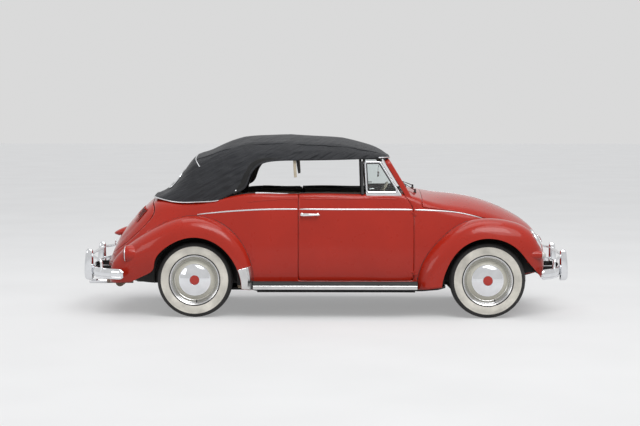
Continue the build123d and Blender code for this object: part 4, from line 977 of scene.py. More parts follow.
def inside_hull(x, y, z):
    if not HULL[0][0] < x < HULL[-1][0]:
        return False
    half = hull_half(x)
    if z < half[-1, 1]:
        return False
    top = np.interp(abs(y), half[:, 0][: CROWN_STEPS], half[:, 1][: CROWN_STEPS])
    if abs(y) < half[CROWN_STEPS - 1, 0]:
        return z < top
    flank = half[CROWN_STEPS - 1 :]
    order = np.argsort(flank[:, 1])
    return abs(y) < np.interp(z, flank[order, 1], flank[order, 0], right=0)


def headlight(side):
    """A headlight's middle and the way it looks."""
    x, y, z = HEADLIGHT_PLACE
    return np.array([x, side * y, z]), np.array([math.cos(HEADLIGHT_TILT), 0, math.sin(HEADLIGHT_TILT)])


def make_wings(word, table, axle_x):
    """Both wings of an axle: skin, rolled lip and the piping where they meet the body."""
    table = np.array(table, float)
    at = spline(table[:, 0], table[:, 1:])
    angles = np.arange(table[0, 0], table[-1, 0] + 0.01, 2.5)
    rows = [wing_profile(at(angle)[0]) for angle in angles]
    lip = np.array([(1.0, -16), (-2.5, -13), (-3.0, -3), (-1.6, 0.4)])
    lip_rows = [np.vstack([lip + row[0], row]) for row in rows]
    for side, place in SIDES:
        grid = [[on_spoke(axle_x, a, r, w, side) for r, w in row] for a, row in zip(angles, lip_rows)]
        verts, faces = grid_form(grid)
        if word == "front":
            # the hole that the headlight sits in; more than 80 mm behind the lamp the wing stays whole
            middle, look = headlight(side)
            away = verts - middle
            along = away @ look
            far = np.linalg.norm(away - along[:, None] * look, axis=1)
            verts, faces = clip(verts, faces, union(HEADLIGHT_HOLE - far, along + 80))
        two_sided(f"{word}_wing_{place}", (verts, faces), 2.0, PAINT, UNDERSEAL, stands_for=f"{word}_wings")
        seam = []
        for angle, row in zip(angles, rows):
            points = [on_spoke(axle_x, angle, r, w, side) for r, w in resample(row, 120)]
            first = next((i for i, point in enumerate(points) if inside_hull(*point)), None)
            if first:
                seam.append(points[first])
        line = smooth_line(seam, 90)
        piece(f"{word}_wing_piping_{place}", sweep(line, circle(3.2, 8)), RUBBER, slot=None)


make_wings("front", FRONT_WING, FRONT_AXLE_X)
make_wings("rear", REAR_WING, REAR_AXLE_X)


# ---------------------------------------------------------------- wheels
# outboard side of a tyre as (distance out, radius), from the bead to the tread's edge
SIDEWALL = (
    (56, 192), (57, 203), (60, 204.4), (66.8, 203.2), (68.6, 205), (68.8, 208.5), (67.9, 213), (69.0, 218),
    (70.6, 228), (72.3, 244), (72.2, 256), (70.4, 268), (68.6, 276.4), (69.0, 277.4), (67.4, 281), (64.6, 288),
    (61.4, 294), (57.5, 300), (54.5, 303.2),
)
WHITE_FROM, WHITE_TO = 212.5, 277.0
GROOVES = (-36, -18, 0, 18, 36)
GROOVE_DEPTH = 6.5
TYRE_RADIUS = 310.0
TYRE_STEPS = 192


def tread_profile():
    points = []
    for middle in GROOVES:
        for away, deep in ((-2.6, 0), (-1.6, GROOVE_DEPTH), (1.6, GROOVE_DEPTH), (2.6, 0)):
            w = middle + away
            points.append((w, TYRE_RADIUS - 6.4 * (w / 54) ** 2 - deep))
    return points


def turned(profile, centre, side, count=96):
    """A closed section of (distance outboard, radius) turned about a wheel's axis."""
    verts, faces = lathe(profile, centre, (0, side, 0), count, closed=True)
    return verts, [face[::-1] for face in faces] if side < 0 else faces


def make_tyre(place, centre, side):
    outer = list(SIDEWALL)
    profile = [(-w, r) for w, r in outer] + tread_profile() + outer[::-1]
    verts, faces = lathe(profile, centre, (0, side, 0), TYRE_STEPS)
    rows = verts.reshape(len(profile), TYRE_STEPS, 3)
    first, last = len(outer), len(outer) + 4 * len(GROOVES)
    wave = np.abs((np.arange(TYRE_STEPS) % 6) - 3) / 3.0 - 0.5
    rows[first:last, :, 1] += side * 5.0 * wave[None, :]
    marks = []
    for (w0, r0), (w1, r1) in zip(profile, profile[1:]):
        white = min(w0, w1) > 40 and min(r0, r1) > WHITE_FROM and max(r0, r1) < WHITE_TO
        marks += [int(white)] * TYRE_STEPS
    form = rows.reshape(-1, 3), faces
    body, node = f"wheel_{place}", f"tyre_{place}"
    piece(f"{node}_tread", form, [TYRE_BLACK, WHITEWALL], body, marks, sharp=42, stands_for=node)


RIM_PROFILE = (
    (61, 206), (58, 194), (46, 188), (33, 182), (22, 176), (13, 169.5), (9.5, 165), (11, 160), (20, 149), (28, 140),
    (32.5, 133), (34, 126), (34, 17), (26, 17), (26, 124), (20, 136), (8, 152), (3, 164), (-8, 171), (-22, 173),
    (-31, 183), (-55, 188), (-60, 204), (-62, 208), (-58, 207), (-56, 191), (-30, 189), (-22, 176), (10, 176),
    (24, 182), (32, 187), (55, 192), (57, 205), (60, 208),
)
BEAUTY_RING = (
    (57.5, 207.5), (61, 210.2), (64.8, 209.6), (66.4, 206.6), (65.6, 203), (62.2, 198.6), (58.4, 193), (50, 189.0),
    (44.5, 186.6), (43.2, 184.4), (34.4, 180.8), (24, 175.4), (19.6, 170.4), (18.2, 168), (15.4, 169.6), (22, 178),
    (34, 184), (48, 191), (56, 197),
)
DRUM = (
    (-55, 17), (-55, 112), (-52, 118), (-46, 122), (-20, 122), (-18, 119), (-10, 119), (-8, 122), (18, 122),
    (24, 118), (25.5, 112), (25.5, 17),
)
CAP_RADIUS, CAP_FOOT, CAP_RISE, BADGE_RADIUS = 129.0, 41.0, 26.5, 39.0


def cap_profile():
    edge = [(34.5, 127), (35.5, 130.5), (38.0, 131.6), (40.6, 130.8), (CAP_FOOT, CAP_RADIUS - 1.5)]
    dome = [
        (CAP_FOOT + CAP_RISE * (1 - (r / (CAP_RADIUS - 4)) ** 2.3), r)
        for r in (CAP_RADIUS - 4, 120, 112, 102, 90, 78, 66, 56, 48, 42)
    ]
    top = CAP_FOOT + CAP_RISE
    badge = [
        (top - 3.4, 40.4), (top - 1.2, BADGE_RADIUS), (top - 0.5, 37.6), (top, 30), (top + 0.3, 15), (top + 0.4, 0.5)
    ]
    return edge + dome + badge


def make_rim(place, centre, side, valve_turn):
    """A wheel without its tyre: rim, bright ring, drum, hub cap with its red middle, and valve."""
    body, node = f"wheel_{place}", f"rim_{place}"
    piece(f"{node}_steel", turned(RIM_PROFILE, centre, side), WHEEL_PAINT, body, stands_for=node)
    piece(f"{node}_trim_ring", turned(BEAUTY_RING, centre, side), DULL_CHROME, body)
    piece(f"{node}_drum", turned(DRUM, centre, side, 64), STEEL, body)
    profile, count = cap_profile(), 96
    verts, faces = lathe(profile, centre, (0, side, 0), count)
    faces.append(tuple(range(len(verts) - count, len(verts))))
    badge_from = next(i for i, point in enumerate(profile) if point[1] < 40)
    steps = np.arange(len(profile) - 1).repeat(count)
    marks = [*(steps >= badge_from), 1]
    piece(f"{node}_cap", (verts, faces), [CHROME, RED_PAINT], body, marks)
    foot = centre + np.array([172.0 * math.cos(valve_turn), side * 18.0, 172.0 * math.sin(valve_turn)])
    valve = [(0, 0.3), (0, 5), (9, 4.6), (10, 3.4), (17, 3.4), (18, 3.8), (25, 3.8), (26, 2.6), (26, 0.3)]
    piece(f"{node}_valve", lathe(valve, foot, (0, side, 0), 14), RUBBER, body, slot=None)


# columns: place, x, y, turn of the valve in degrees
WHEEL_PLACES = (
    ("front_right", FRONT_AXLE_X, -645.0, -70), ("front_left", FRONT_AXLE_X, 645.0, 40),
    ("rear_right", REAR_AXLE_X, -625.0, -86), ("rear_left", REAR_AXLE_X, 625.0, 160),
)
for place, wheel_x, wheel_y, turn in WHEEL_PLACES:
    hub, outboard = (wheel_x, wheel_y, AXLE_Z), 1 if wheel_y > 0 else -1
    make_tyre(place, hub, outboard)
    make_rim(place, hub, outboard, math.radians(turn))


# ---------------------------------------------------------------- bumpers
# section of a blade as (out, up): convex face with a raised band above a narrow one, then its hollow back
BLADE_SECTION = (
    (-3, -43), (5, -42), (10.5, -38), (12.6, -31), (12.0, -24.5), (11.2, -21.5), (14.0, -19.5), (16.8, -14), (18, -4),
    (18, 8), (16, 21), (12, 32), (6, 39.5), (-3, 43), (-4.5, 41), (2.5, 36.5), (8.6, 30), (12.6, 19.5), (14.6, 8),
    (14.6, -3), (13.2, -12), (9.4, -16.5), (7.6, -24), (8.8, -31), (6.6, -36), (-4.5, -41),
)
BLADE_Z, IRON_Y = 360.0, 215.0
# columns: height, front face back from the tip, back face forward of the guard's back, half width
GUARD_SECTIONS = (
    (274, 30, 6, 10), (276, 20, 3, 19), (283, 10, 0, 26), (298, 3, 0, 30), (330, 0, 0, 31), (380, 1, 0, 31),
    (430, 5, 0, 30.5), (470, 9, 0, 29), (496, 12, 0, 27.5), (512, 14.5, 1, 26), (524, 19, 4, 22.5), (532, 26, 10, 16),
    (536, 36, 20, 6),
)


def guard_form(x_tip, x_back, y):
    """A tall hollow-looking guard, rounded like a thumb."""
    forward = 1 if x_tip > 0 else -1
    rows = []
    for z, front, back, half in GUARD_SECTIONS:
        x_front, x_rear = x_tip - forward * front, x_back + forward * back
        middle, reach = (x_front + x_rear) / 2, abs(x_front - x_rear) / 2
        ring = []
        for t in full_turn(36):
            c, s = math.cos(t), math.sin(t)
            along = reach * math.copysign(abs(c) ** (0.62 if c * forward > 0 else 0.35), c)
            ring.append((middle + along, y + half * math.copysign(abs(s) ** 0.8, s), z))
        rows.append(ring)
    return grid_form(rows, wrap=True, capped=True)


def make_bumper(word, plan, x_tip, x_guard, body_x):
    """A bumper: blade, two guards, the tubes between and beside them, and the irons that carry it."""
    x_mid, x_bend, y_bend, x_corner, y_corner, x_end, y_end = plan
    forward = 1 if x_mid > 0 else -1
    back = forward * 16
    middle = arc((-y_bend, x_bend), (0, x_mid), (y_bend, x_bend), 41)[:, ::-1]
    corner = arc((y_bend, x_bend), (y_corner, x_corner), (y_end, x_end), 25)[:, ::-1]
    line = np.vstack([corner[:0:-1] * (1, -1), middle, corner[1:]]) - (back, 0)
    line = line[::forward][::4]
    path = smooth_line(np.column_stack([line, np.full(len(line), BLADE_Z)]), 140)
    size = np.ones(len(path))
    size[:4], size[-4:] = (0.55, 0.82, 0.94, 0.99), (0.99, 0.94, 0.82, 0.55)
    blade = sweep(path, BLADE_SECTION, scale=size)
    piece(f"{word}_bumper_blade", blade, CHROME, sharp=50, stands_for=f"{word}_bumper")

    guards, tubes, irons = Build(), Build(), Build()
    rail_x = x_guard + back
    end_x, end_y = x_corner - back / 2, y_corner
    for side in (-1, 1):
        guards.add(guard_form(x_tip, x_guard, side * 340.0))
        route = rounded(
            [
                (rail_x, side * 345, 490), (rail_x + (end_x - rail_x) * 0.55, side * (end_y - 52), 484),
                (end_x, side * end_y, 462), (end_x, side * end_y, 372),
            ],
            (26, 24),
            10,
        )
        tubes.sweep(resample(route, 46), circle(12, 18), up=(0.3, 0.1, 0.9))
        tubes.lathe([(0, 0.5), (0, 17), (4, 17), (6, 13), (6, 0.5)], (end_x, side * end_y, 402), (0, 0, 1), 24)
        low, high = sorted((body_x, x_mid - back * 1.2))
        irons.box((low, side * IRON_Y - 6, 340), (high, side * IRON_Y + 6, 380), 3)
        for bolt_z in (350, 370):
            bolt = (high - 60, side * IRON_Y - 6, bolt_z)
            irons.lathe([(0, 0.5), (0, 9), (5, 9), (7, 6), (7, 0.5)], bolt, (0, -1, 0), 6)
    tubes.sweep([(rail_x, y, 490) for y in np.linspace(-330, 330, 24)], circle(12, 18))
    guards.piece(f"{word}_bumper_guards", CHROME, sharp=50)
    tubes.piece(f"{word}_bumper_tubes", CHROME)
    irons.piece(f"{word}_bumper_irons", BLACK_PAINT)


make_bumper("front", (2002, 1950, 430, 1890, 605, 1781, 722), 2035, 1965, 1780)
make_bumper("rear", (-1996, -1945, 430, -1850, 630, -1663, 735), -2035, -1959, -1775)


# ---------------------------------------------------------------- running boards
BOARD_SECTION = [(642, 262), (642, 294)]
for rib in range(9):
    rib_y = 656 + rib * 9.6
    BOARD_SECTION += [(rib_y - 3.2, 295.2), (rib_y - 2.4, 297.6), (rib_y + 2.4, 297.6), (rib_y + 3.2, 295.2)]
BOARD_SECTION += [
    (741, 297), (748, 298.6), (754, 297), (758.5, 292), (760.6, 285), (761, 276), (761, 248), (759, 242), (754, 240),
    (749, 242), (747.5, 250), (747, 284), (742, 288), (652, 286), (650, 262),
]
STRIP_SECTION = (
    (760, 273), (762, 274.6), (765.4, 273.4), (767.6, 268), (768.2, 258), (767.6, 248), (765.4, 242.6), (762, 241.4),
    (760, 243),
)


def extruded(section, x_from, x_to, steps):
    """A closed (y, z) section drawn out along X, capped at both ends."""
    rows = [[(x, y, z) for y, z in section] for x in np.linspace(x_from, x_to, steps)]
    return grid_form(rows, wrap=True, capped=True)


def make_boards():
    boards = Build().add(extruded(BOARD_SECTION, -588, 754, 24)).mirrored()
    boards.piece("running_boards_mat", MAT, sharp=30, stands_for="running_boards")
    strips = Build().add(extruded(STRIP_SECTION, -586, 752, 24)).mirrored()
    strips.piece("running_boards_strip", DULL_CHROME, sharp=60)


make_boards()


# ---------------------------------------------------------------- lamps
# each row: distance towards the front, radius
HEADLIGHT_BUCKET = [(-92, 40), (-88, 84), (-70, 92), (-6, 94), (-1, 93), (-2, 90), (-66, 88), (-86, 40)]
HEADLIGHT_RING = [
    (-5, 92), (-5, 96.5), (0, 98.5), (5.5, 97.5), (10, 93), (12, 87.5), (10.5, 84), (6, 82.6), (1, 84), (0, 88),
]
# each row: share of the way, share of full size
SIGNAL_SHELL = (
    (0.0, 0.80), (0.08, 0.97), (0.2, 1.0), (0.42, 0.985), (0.6, 0.93), (0.74, 0.85), (0.8, 0.80), (0.8, 0.74),
)
SIGNAL_NOSE = (0.0, 0.75), (0.1, 0.77), (0.4, 0.70), (0.65, 0.57), (0.84, 0.38), (0.95, 0.19), (1.0, 0.02)
TAIL_HOUSING = (
    (0.0, 0.55), (0.12, 0.74), (0.3, 0.88), (0.5, 0.96), (0.75, 1.0), (0.93, 0.99), (1.0, 0.95), (1.0, 0.9),
)
TAIL_RIM = (0.0, 0.88), (0.0, 0.93), (0.5, 0.945), (1.0, 0.925), (1.0, 0.88), (0.6, 0.86)
TAIL_GLASS = (0.0, 0.89), (0.25, 0.89), (0.5, 0.81), (0.75, 0.61), (0.92, 0.36), (1.0, 0.02)


def make_headlights():
    rings, lenses, bowls, buckets = Build(), Build(), Build(), Build()
    for side in (-1, 1):
        middle, look = headlight(side)
        buckets.lathe(HEADLIGHT_BUCKET, middle, look, 72)
        rings.lathe(HEADLIGHT_RING, middle, look, 96)
        dome = [(6 + 24 * (1 - (r / 84) ** 2.2), r) for r in (84, 80, 72, 62, 50, 36, 20, 8, 0.6)]
        inner = [(w - 3.2, r) for w, r in dome[::-1]]
        lenses.lathe(dome + inner, middle, look, 96)
        bowls.lathe([(3, 84), (0, 84.5), (-14, 78), (-34, 62), (-50, 42), (-57, 20), (-58, 1)], middle, look, 64)
        bowls.lathe([(-58, 7), (-40, 8), (-36, 11), (-26, 11), (-20, 7), (-18, 0.6)], middle, look, 24, mark=1)
    buckets.piece("headlights_bucket", PAINT)
    rings.piece("headlights_ring", CHROME, stands_for="headlights")
    lenses.piece("headlights_glass", LENS, stands_for="headlight_lenses")
    bowls.piece("headlights_reflector", [CHROME, LENS])


def ovals(sizes, x_from, x_to, middle, half_y, half_z):
    """Ovals along X about a middle (y, z); sizes gives share of the way and share of full size."""
    (y, z), turns, rows = middle, full_turn(48), []
    for share, size in sizes:
        x = x_from + (x_to - x_from) * share
        rows.append([(x, y + half_y * size * math.cos(t), z + half_z * size * math.sin(t)) for t in turns])
    return grid_form(rows, wrap=True)


def make_small_lamps():
    shells, noses, housings, glasses, rims = Build(), Build(), Build(), Build(), Build()
    for side in (-1, 1):
        signal, tail = (side * 690.0, 521.0), (side * 646.0, 520.0)
        shells.add(ovals(SIGNAL_SHELL, 1636, 1801, signal, 38, 38))
        noses.add(ovals(SIGNAL_NOSE, 1768, 1804, signal, 38, 38))
        housings.add(ovals(TAIL_HOUSING, -1498, -1638, tail, 74, 73))
        rims.add(ovals(TAIL_RIM, -1637, -1643, tail, 74, 73))
        glasses.add(ovals(TAIL_GLASS, -1638, -1657, tail, 74, 73))
    shells.piece("turn_signals_shell", PAINT, stands_for="turn_signals")
    noses.piece("turn_signals_glass", PALE_LENS)
    housings.piece("tail_lights_housing", PAINT, stands_for="tail_lights")
    rims.piece("tail_lights_rim", CHROME)
    glasses.piece("tail_lights_glass", RED_LENS)


make_headlights()
make_small_lamps()


# ---------------------------------------------------------------- flat frames and panes
def flat(origin, across, up):
    """Turns (across, up, out) coordinates of a plane into points; out is across x up."""
    origin, across, up = (np.asarray(v, float) for v in (origin, across, up))
    across, up = across / np.linalg.norm(across), up / np.linalg.norm(up)
    out = np.cross(across, up)

    def at(loop, depth):
        loop = np.asarray(loop, float)
        return origin + loop[:, :1] * across + loop[:, 1:2] * up + depth * out

    return at


def shrunk(loop, amount):
    """A closed line moved in by an amount."""
    ahead = np.roll(loop, -1, 0) - np.roll(loop, 1, 0)
    inward = units(np.stack([-ahead[:, 1], ahead[:, 0]], 1))
    area = 0.5 * np.sum(loop[:, 0] * np.roll(loop[:, 1], -1) - np.roll(loop[:, 0], -1) * loop[:, 1])
    return loop + inward * amount * (1 if area > 0 else -1)


def ring_form(at, outer, inner, front, back, bevel):
    """A frame between two closed lines, with bevelled front edges."""
    rows = [
        at(outer, back), at(outer, front - bevel), at(shrunk(outer, bevel * 0.35), front - bevel * 0.3),
        at(shrunk(outer, bevel), front), at(shrunk(inner, -bevel), front),
        at(shrunk(inner, -bevel * 0.35), front - bevel * 0.3), at(inner, front - bevel), at(inner, back),
    ]
    return grid_form(rows, wrap=True, closed=True)


def pane_form(at, loop, front, back):
    """A flat pane with a closed outline."""
    return grid_form([at(loop, back), at(loop, front)], wrap=True, capped=True)


# ---------------------------------------------------------------- windscreen
SCREEN = flat((702, 0, 1005), (0, 1, 0), (-180, 0, 299))
SCREEN_HIGH = math.hypot(180, 299)
SCREEN_OUTER = rounded_loop(
    [(-592, -40), (592, -40), (545, SCREEN_HIGH), (-545, SCREEN_HIGH)], (6, 6, 46, 46), 200
)
SCREEN_INNER = rounded_loop(
    [(-554, 66), (554, 66), (512, SCREEN_HIGH - 30), (-512, SCREEN_HIGH - 30)], (58, 58, 52, 52), 200
)


def make_windscreen():
    border = ring_form(SCREEN, SCREEN_OUTER, SCREEN_INNER, 0, -40, 9)
    piece("windshield_frame_skin", border, PAINT, sharp=60, stands_for="windshield_frame")
    seal = ring_form(SCREEN, shrunk(SCREEN_INNER, -2), shrunk(SCREEN_INNER, 13), -5, -20, 4)
    piece("windshield_seal", seal, RUBBER, slot=None, sharp=60)
    pane = pane_form(SCREEN, shrunk(SCREEN_INNER, 6), -11, -16)
    piece("windshield_pane", pane, GLASS, sharp=30, stands_for="windshield_glass")


make_windscreen()


# ---------------------------------------------------------------- vent windows
VENT_RISE = math.hypot(52, 269)


def make_vents():
    for side, word in SIDES:
        body = f"door_{word}"
        at = flat((0, side * 600, 1015), (-side, 0, 0), (0, -side * 52, 269))

        def place(points):
            return [(-side * x, share * VENT_RISE) for x, share in points]

        outer = rounded_loop(place(((322, 0.985), (453, 0.99), (632, -0.06), (337, -0.06))), (7, 12, 8, 8), 120)
        inner = rounded_loop(place(((336, 0.935), (447, 0.94), (592, 0.07), (350, 0.07))), (9, 14, 30, 12), 120)
        plated = ring_form(at, outer, inner, 1, -14, 3.5)
        piece(f"vent_frame_{word}_plated", plated, CHROME, body, sharp=60, stands_for=f"vent_frame_{word}")
        seal = Build().add(ring_form(at, shrunk(inner, -1), shrunk(inner, 8), -2, -12, 2))
        seal.add(ring_form(at, shrunk(inner, -16), shrunk(inner, -14), 1.6, -4, 0.5))
        seal.piece(f"vent_frame_{word}_seal", RUBBER, body, slot=None, sharp=60)
        pane = pane_form(at, shrunk(inner, 5), -5, -9)
        piece(f"vent_glass_{word}_pane", pane, GLASS, body, sharp=30, stands_for=f"vent_glass_{word}")
        foot, head = at(place(((308, -0.02),)), -8)[0], at(place(((299, 0.985),)), -8)[0]
        post = sweep([foot + (head - foot) * t for t in np.linspace(0, 1, 6)], rounded_box(22, 22, 5, 3), (1, 0, 0))
        piece(f"vent_post_{word}", post, RUBBER, body, slot=None, sharp=60)
        latch = Build()
        spot = at(place(((372, 0.16),)), -14)[0]
        latch.lathe([(0, 0.4), (0, 7), (10, 6), (13, 4), (13, 0.4)], spot, (0, -side, 0), 20)
        latch.box(spot + (-4, -side * 12 - 4, -5), spot + (34, -side * 12 + 4, 5), 2.5)
        latch.piece(f"vent_latch_{word}", CHROME, body)


make_vents()


# ---------------------------------------------------------------- soft top
# columns as for the hull
TOP = (
    (-1447, 900, 400, 372, 940, 250, 965, 990, 20),
    (-1332, 900, 455, 425, 970, 330, 1018, 1057, 36),
    (-1233, 900, 500, 468, 1010, 375, 1108, 1155, 60),
    (-1112, 900, 540, 512, 1060, 425, 1255, 1309, 85),
    (-1013, 900, 562, 536, 1080, 445, 1302, 1353, 90),
    (-893, 900, 580, 560, 1100, 465, 1350, 1408, 90),
    (-739, 900, 594, 578, 1120, 488, 1395, 1462, 90),
    (-492, 900, 604, 588, 1140, 505, 1424, 1492, 90),
    (-225, 900, 606, 590, 1140, 512, 1422, 1490, 90),
    (120, 900, 606, 588, 1140, 514, 1402, 1467, 80),
    (300, 900, 604, 584, 1140, 518, 1372, 1431, 60),
    (477, 900, 600, 580, 1130, 528, 1326, 1357, 28),
    (531, 900, 598, 578, 1120, 532, 1304, 1319, 12),
)
TOP_AT = spline([row[0] for row in TOP], [row[1:] for row in TOP])
TOP_EDGE = smooth_line(
    (
        (533, 1306), (400, 1303), (121, 1295), (-238, 1289), (-420, 1283), (-520, 1262), (-590, 1212), (-632, 1130),
        (-664, 1062), (-736, 1026), (-873, 958), (-1000, 942), (-1120, 936), (-1279, 940), (-1360, 954), (-1450, 972),
    ),
    260,
)
TOP_EDGE_AT = TOP_EDGE[:, 0][::-1], TOP_EDGE[:, 1][::-1]
BOW_PLACES = (478.0, 140.0, -300.0, -700.0, -1100.0)
WINDOW_MIDDLE = (-1263.5, 1121.5)
WINDOW_UP = np.array([109.0, 153.0]) / math.hypot(109, 153)
WINDOW_LOOP = rounded_loop([(-318, -86), (318, -86), (300, 86), (-300, 86)], (46, 46, 40, 40), 160)


def top_half(x, inset=0.0):
    """Half of the top's cross section, from its middle round to its lower edge, drawn in by an inset."""
    z_bottom, w_bottom, w_middle, z_middle, w_shoulder, z_shoulder, z_crown, radius = TOP_AT(x)[0]
    return half_section(
        z_bottom, w_bottom - inset, w_middle - inset, z_middle, w_shoulder - inset, z_shoulder - inset,
        z_crown - inset, max(8.0, radius - inset * 0.3) * 1.15,
    )


def top_height(x, y):
    half = top_half(x)[: CROWN_STEPS + CORNER_STEPS + 8]
    return float(np.interp(abs(y), half[:, 0], half[:, 1]))


def top_width(x, z):
    half = top_half(x)
    order = np.argsort(half[:, 1])
    return float(np.interp(z, half[order, 1], half[order, 0]))


def window_field(x, y, z, grow):
    """Below zero over the rear window, as seen square to it."""
    up = (x - WINDOW_MIDDLE[0]) * WINDOW_UP[0] + (z - WINDOW_MIDDLE[1]) * WINDOW_UP[1]
    return meet(loop_field(y, up, WINDOW_LOOP, grow), x + 1100)


def cloth_offset(x, y, z, run):
    """How far the cloth stands off its smooth shape: it rests on the bows, sags between them and creases."""
    nearest = min(abs(x - bow) for bow in BOW_PLACES)
    sag = -5.0 * (1 - bell(nearest, 0, 120.0))
    ridge = 1.6 * bell(nearest, 0, 16.0)
    flank = ramp_between(abs(y), 330, 510)
    place = Vector((x * 0.0042, run * 0.021, 3.1 if y > 0 else 0.0))
    along = noise.noise(place) * 0.65 + noise.noise(place * 2.1) * 0.35
    rear = ramp_between(-x, 420, 680) * flank
    slant = Vector(((x + 0.35 * z) * 0.0105, z * 0.0026, 7.7 if y > 0 else 5.2))
    fold = noise.noise(slant) * 0.7 + noise.noise(slant * 2.3) * 0.3
    ripple = math.sin(z * 0.095 + 2.2 * noise.noise(Vector((x * 0.01, z * 0.006, 1.0))))
    patch = bell(x, -790, 95.0) * bell(z, 1170, 110.0) * flank
    pulled = bell(x, -60, 420.0) * bell(z, 1372, 46.0) * flank
    taut = math.sin(z * 0.13 + x * 0.006 + 3.0 * noise.noise(Vector((x * 0.006, z * 0.02, 4.0))))
    creases = 7.5 * along * flank * (1 - 0.7 * rear) + 9.0 * fold * rear
    return sag + ridge + creases + 3.6 * ripple * patch + 2.4 * taut * pulled


def top_grid(inset, step, creased):
    """The cloth as a grid of points, drawn in from the top's shape by an inset."""
    low, high = TOP[0][0], TOP[-1][0]
    rows = []
    for x in np.linspace(low, high, int((high - low) / step) + 1):
        ring = both_halves(resample(top_half(x, inset), 76))
        if creased:
            lift = [cloth_offset(x, y, z, run) for (y, z), run in zip(ring, lengths(ring))]
            fade = min(1.0, (high - x) / 60.0) * min(1.0, (x - low) / 60.0)
            ring = ring + normals(ring) * (np.array(lift) * fade)[:, None]
        rows.append(np.column_stack([np.full(len(ring), x), ring]))
    return rows


def top_piece(name, grid, edge_up, outer, thick, window_grow, stands_for=None):
    """The cloth or its lining, cut along the top's lower edge and round the rear window."""
    verts, faces = grid_form(grid)
    x, y, z = verts.T
    edge = np.interp(x, *TOP_EDGE_AT) + edge_up
    slope = np.gradient(TOP_EDGE_AT[1], TOP_EDGE_AT[0])
    steep = np.interp(x, TOP_EDGE_AT[0], slope)
    field = meet((edge - z) / np.sqrt(1 + steep**2), -window_field(x, y, z, window_grow))
    form = clip(verts, faces, field)
    return two_sided(name, form, thick, outer, LINING, slot="top_fabric", stands_for=stands_for)


def make_rear_window():
    """The rear window's pane and its bright frame, which lie on the cloth."""

    def on_top(up, y, lift):
        x = WINDOW_MIDDLE[0] + up * WINDOW_UP[0]
        return (x, y, top_height(x, y) + lift)

    path = [on_top(up, y, 6.0) for y, up in WINDOW_LOOP]
    ring = sweep(path, rounded_box(18, 13, 5, 4), (-WINDOW_UP[1], 0, WINDOW_UP[0]), closed=True)
    piece("rear_window_frame", ring, CHROME, sharp=50)
    ups, ys = np.linspace(-100, 100, 21), np.linspace(-330, 330, 49)
    pane = [[on_top(up, y, -1.0) for y in ys] for up in ups]
    keep_y, keep_up = np.meshgrid(ys, ups)
    form = clip(*grid_form(pane), loop_field(keep_y.ravel(), keep_up.ravel(), WINDOW_LOOP, -1.0))
    two_sided("rear_window_pane", form, 4.0, GLASS, stands_for="rear_window")


def make_mouldings():
    """Bright mouldings along the top's lower edge, across its rear bow and under its front edge."""
    trims = Build()
    lower = [(x, -top_width(x, z + 3) - 1.0, z + 3) for x, z in TOP_EDGE[::-1] if x < -873]
    back = [(-1451, -y, top_height(-1446, y) + 2) for y in np.linspace(0, -lower[0][1] - 30, 12)]
    path = both_halves(smooth_line(back + lower[4:], 150))
    trims.sweep(path, circle(5.2, 12), up=(0, 0.05, 1))
    bow = []
    for y, z in resample(top_half(-1092), 160):
        if z > 1226:
            x = -1090 + 44.0 * max(0.0, (1300 - z) / 70.0) ** 1.2
            bow.append((x, top_width(x, z) if z < 1290 else y, z + 3))
    bow = both_halves(np.array(bow))
    trims.sweep(smooth_line(bow, 120), circle(4.6, 12), up=(-0.8, 0, 0.6))
    front = []
    for y in np.linspace(-596, 596, 61):
        bend = 96 * max(0.0, (abs(y) - 520) / 76.0) ** 2.0
        wide = y * (1 - 0.004 * max(0.0, abs(y) - 560) / 36)
        front.append((534 - bend, wide, 1312 + 8 * (1 - (abs(y) / 600) ** 2)))
    trims.sweep(smooth_line(front, 120), circle(4.2, 10))
    for side in (-1, 1):
        spot = (-736, side * (top_width(-736, 1040) + 1), 1040)
        trims.lathe([(-2, 0.4), (-2, 6), (1.5, 6), (3.5, 4), (4, 0.4)], spot, (0, side, 0), 20)
    trims.piece("soft_top_mouldings", CHROME)


def make_seams():
    """Welted seams where the top's side pieces join its middle, and the hem round the side windows."""
    seams = Build()
    for side in (-1, 1):
        run = []
        for x in np.linspace(-1090, 505, 70):
            section = resample(top_half(x), 100)
            y, z = section[math.ceil(47 + 2 * math.sin(x * 0.002))]
            run.append((x, side * y, z + cloth_offset(x, y, z, 0) * 0.4 + 0.5))
        seams.sweep(smooth_line(run, 160), circle(2.6, 8), up=(0, side * 0.7, 0.7))
        hem = [(x, side * (top_width(x, z + 8) + 0.6), z + 4) for x, z in TOP_EDGE if -760 < x < 520]
        seams.sweep(smooth_line(hem, 150), rounded_box(6, 16, 2.5, 3))
    seams.piece("soft_top_seams", CANVAS)


def make_weather_strip():
    """The black strip between the cloth and the rear edge of each side window."""
    edge = np.array([p for p in TOP_EDGE if -742 < p[0] < -330])
    ahead = units(np.gradient(edge, axis=0))
    rows = []
    for (x, z), (dx, dz) in zip(edge, ahead):
        wide = 5 + 44 * ramp_between(-x, 330, 560) * min(1.0, (x + 748) / 60.0)
        out_x, out_z = (dz, -dx) if dz < 0 else (-dz, dx)
        row = []
        for share in np.linspace(0, 1, 6):
            px, pz = x + out_x * wide * share, z + out_z * wide * share
            row.append((px, -(top_width(px, pz + 4) + 3.5 * math.sin(math.pi * (0.15 + 0.7 * share))), pz))
        rows.append(row)
    two_sided("side_window_weather_strip", Build().add(grid_form(rows)).mirrored().form(), 2.5, STRIP_RUBBER)


cloth = top_piece("soft_top_cloth", top_grid(0.0, 15.0, True), 0.0, CANVAS, 2.5, -6.0, "soft_top")
lining = top_piece("soft_top_lining", top_grid(31.0, 30.0, False), 34.0, LINING, 1.5, 14.0)
make_rear_window()
make_mouldings()
make_seams()
make_weather_strip()


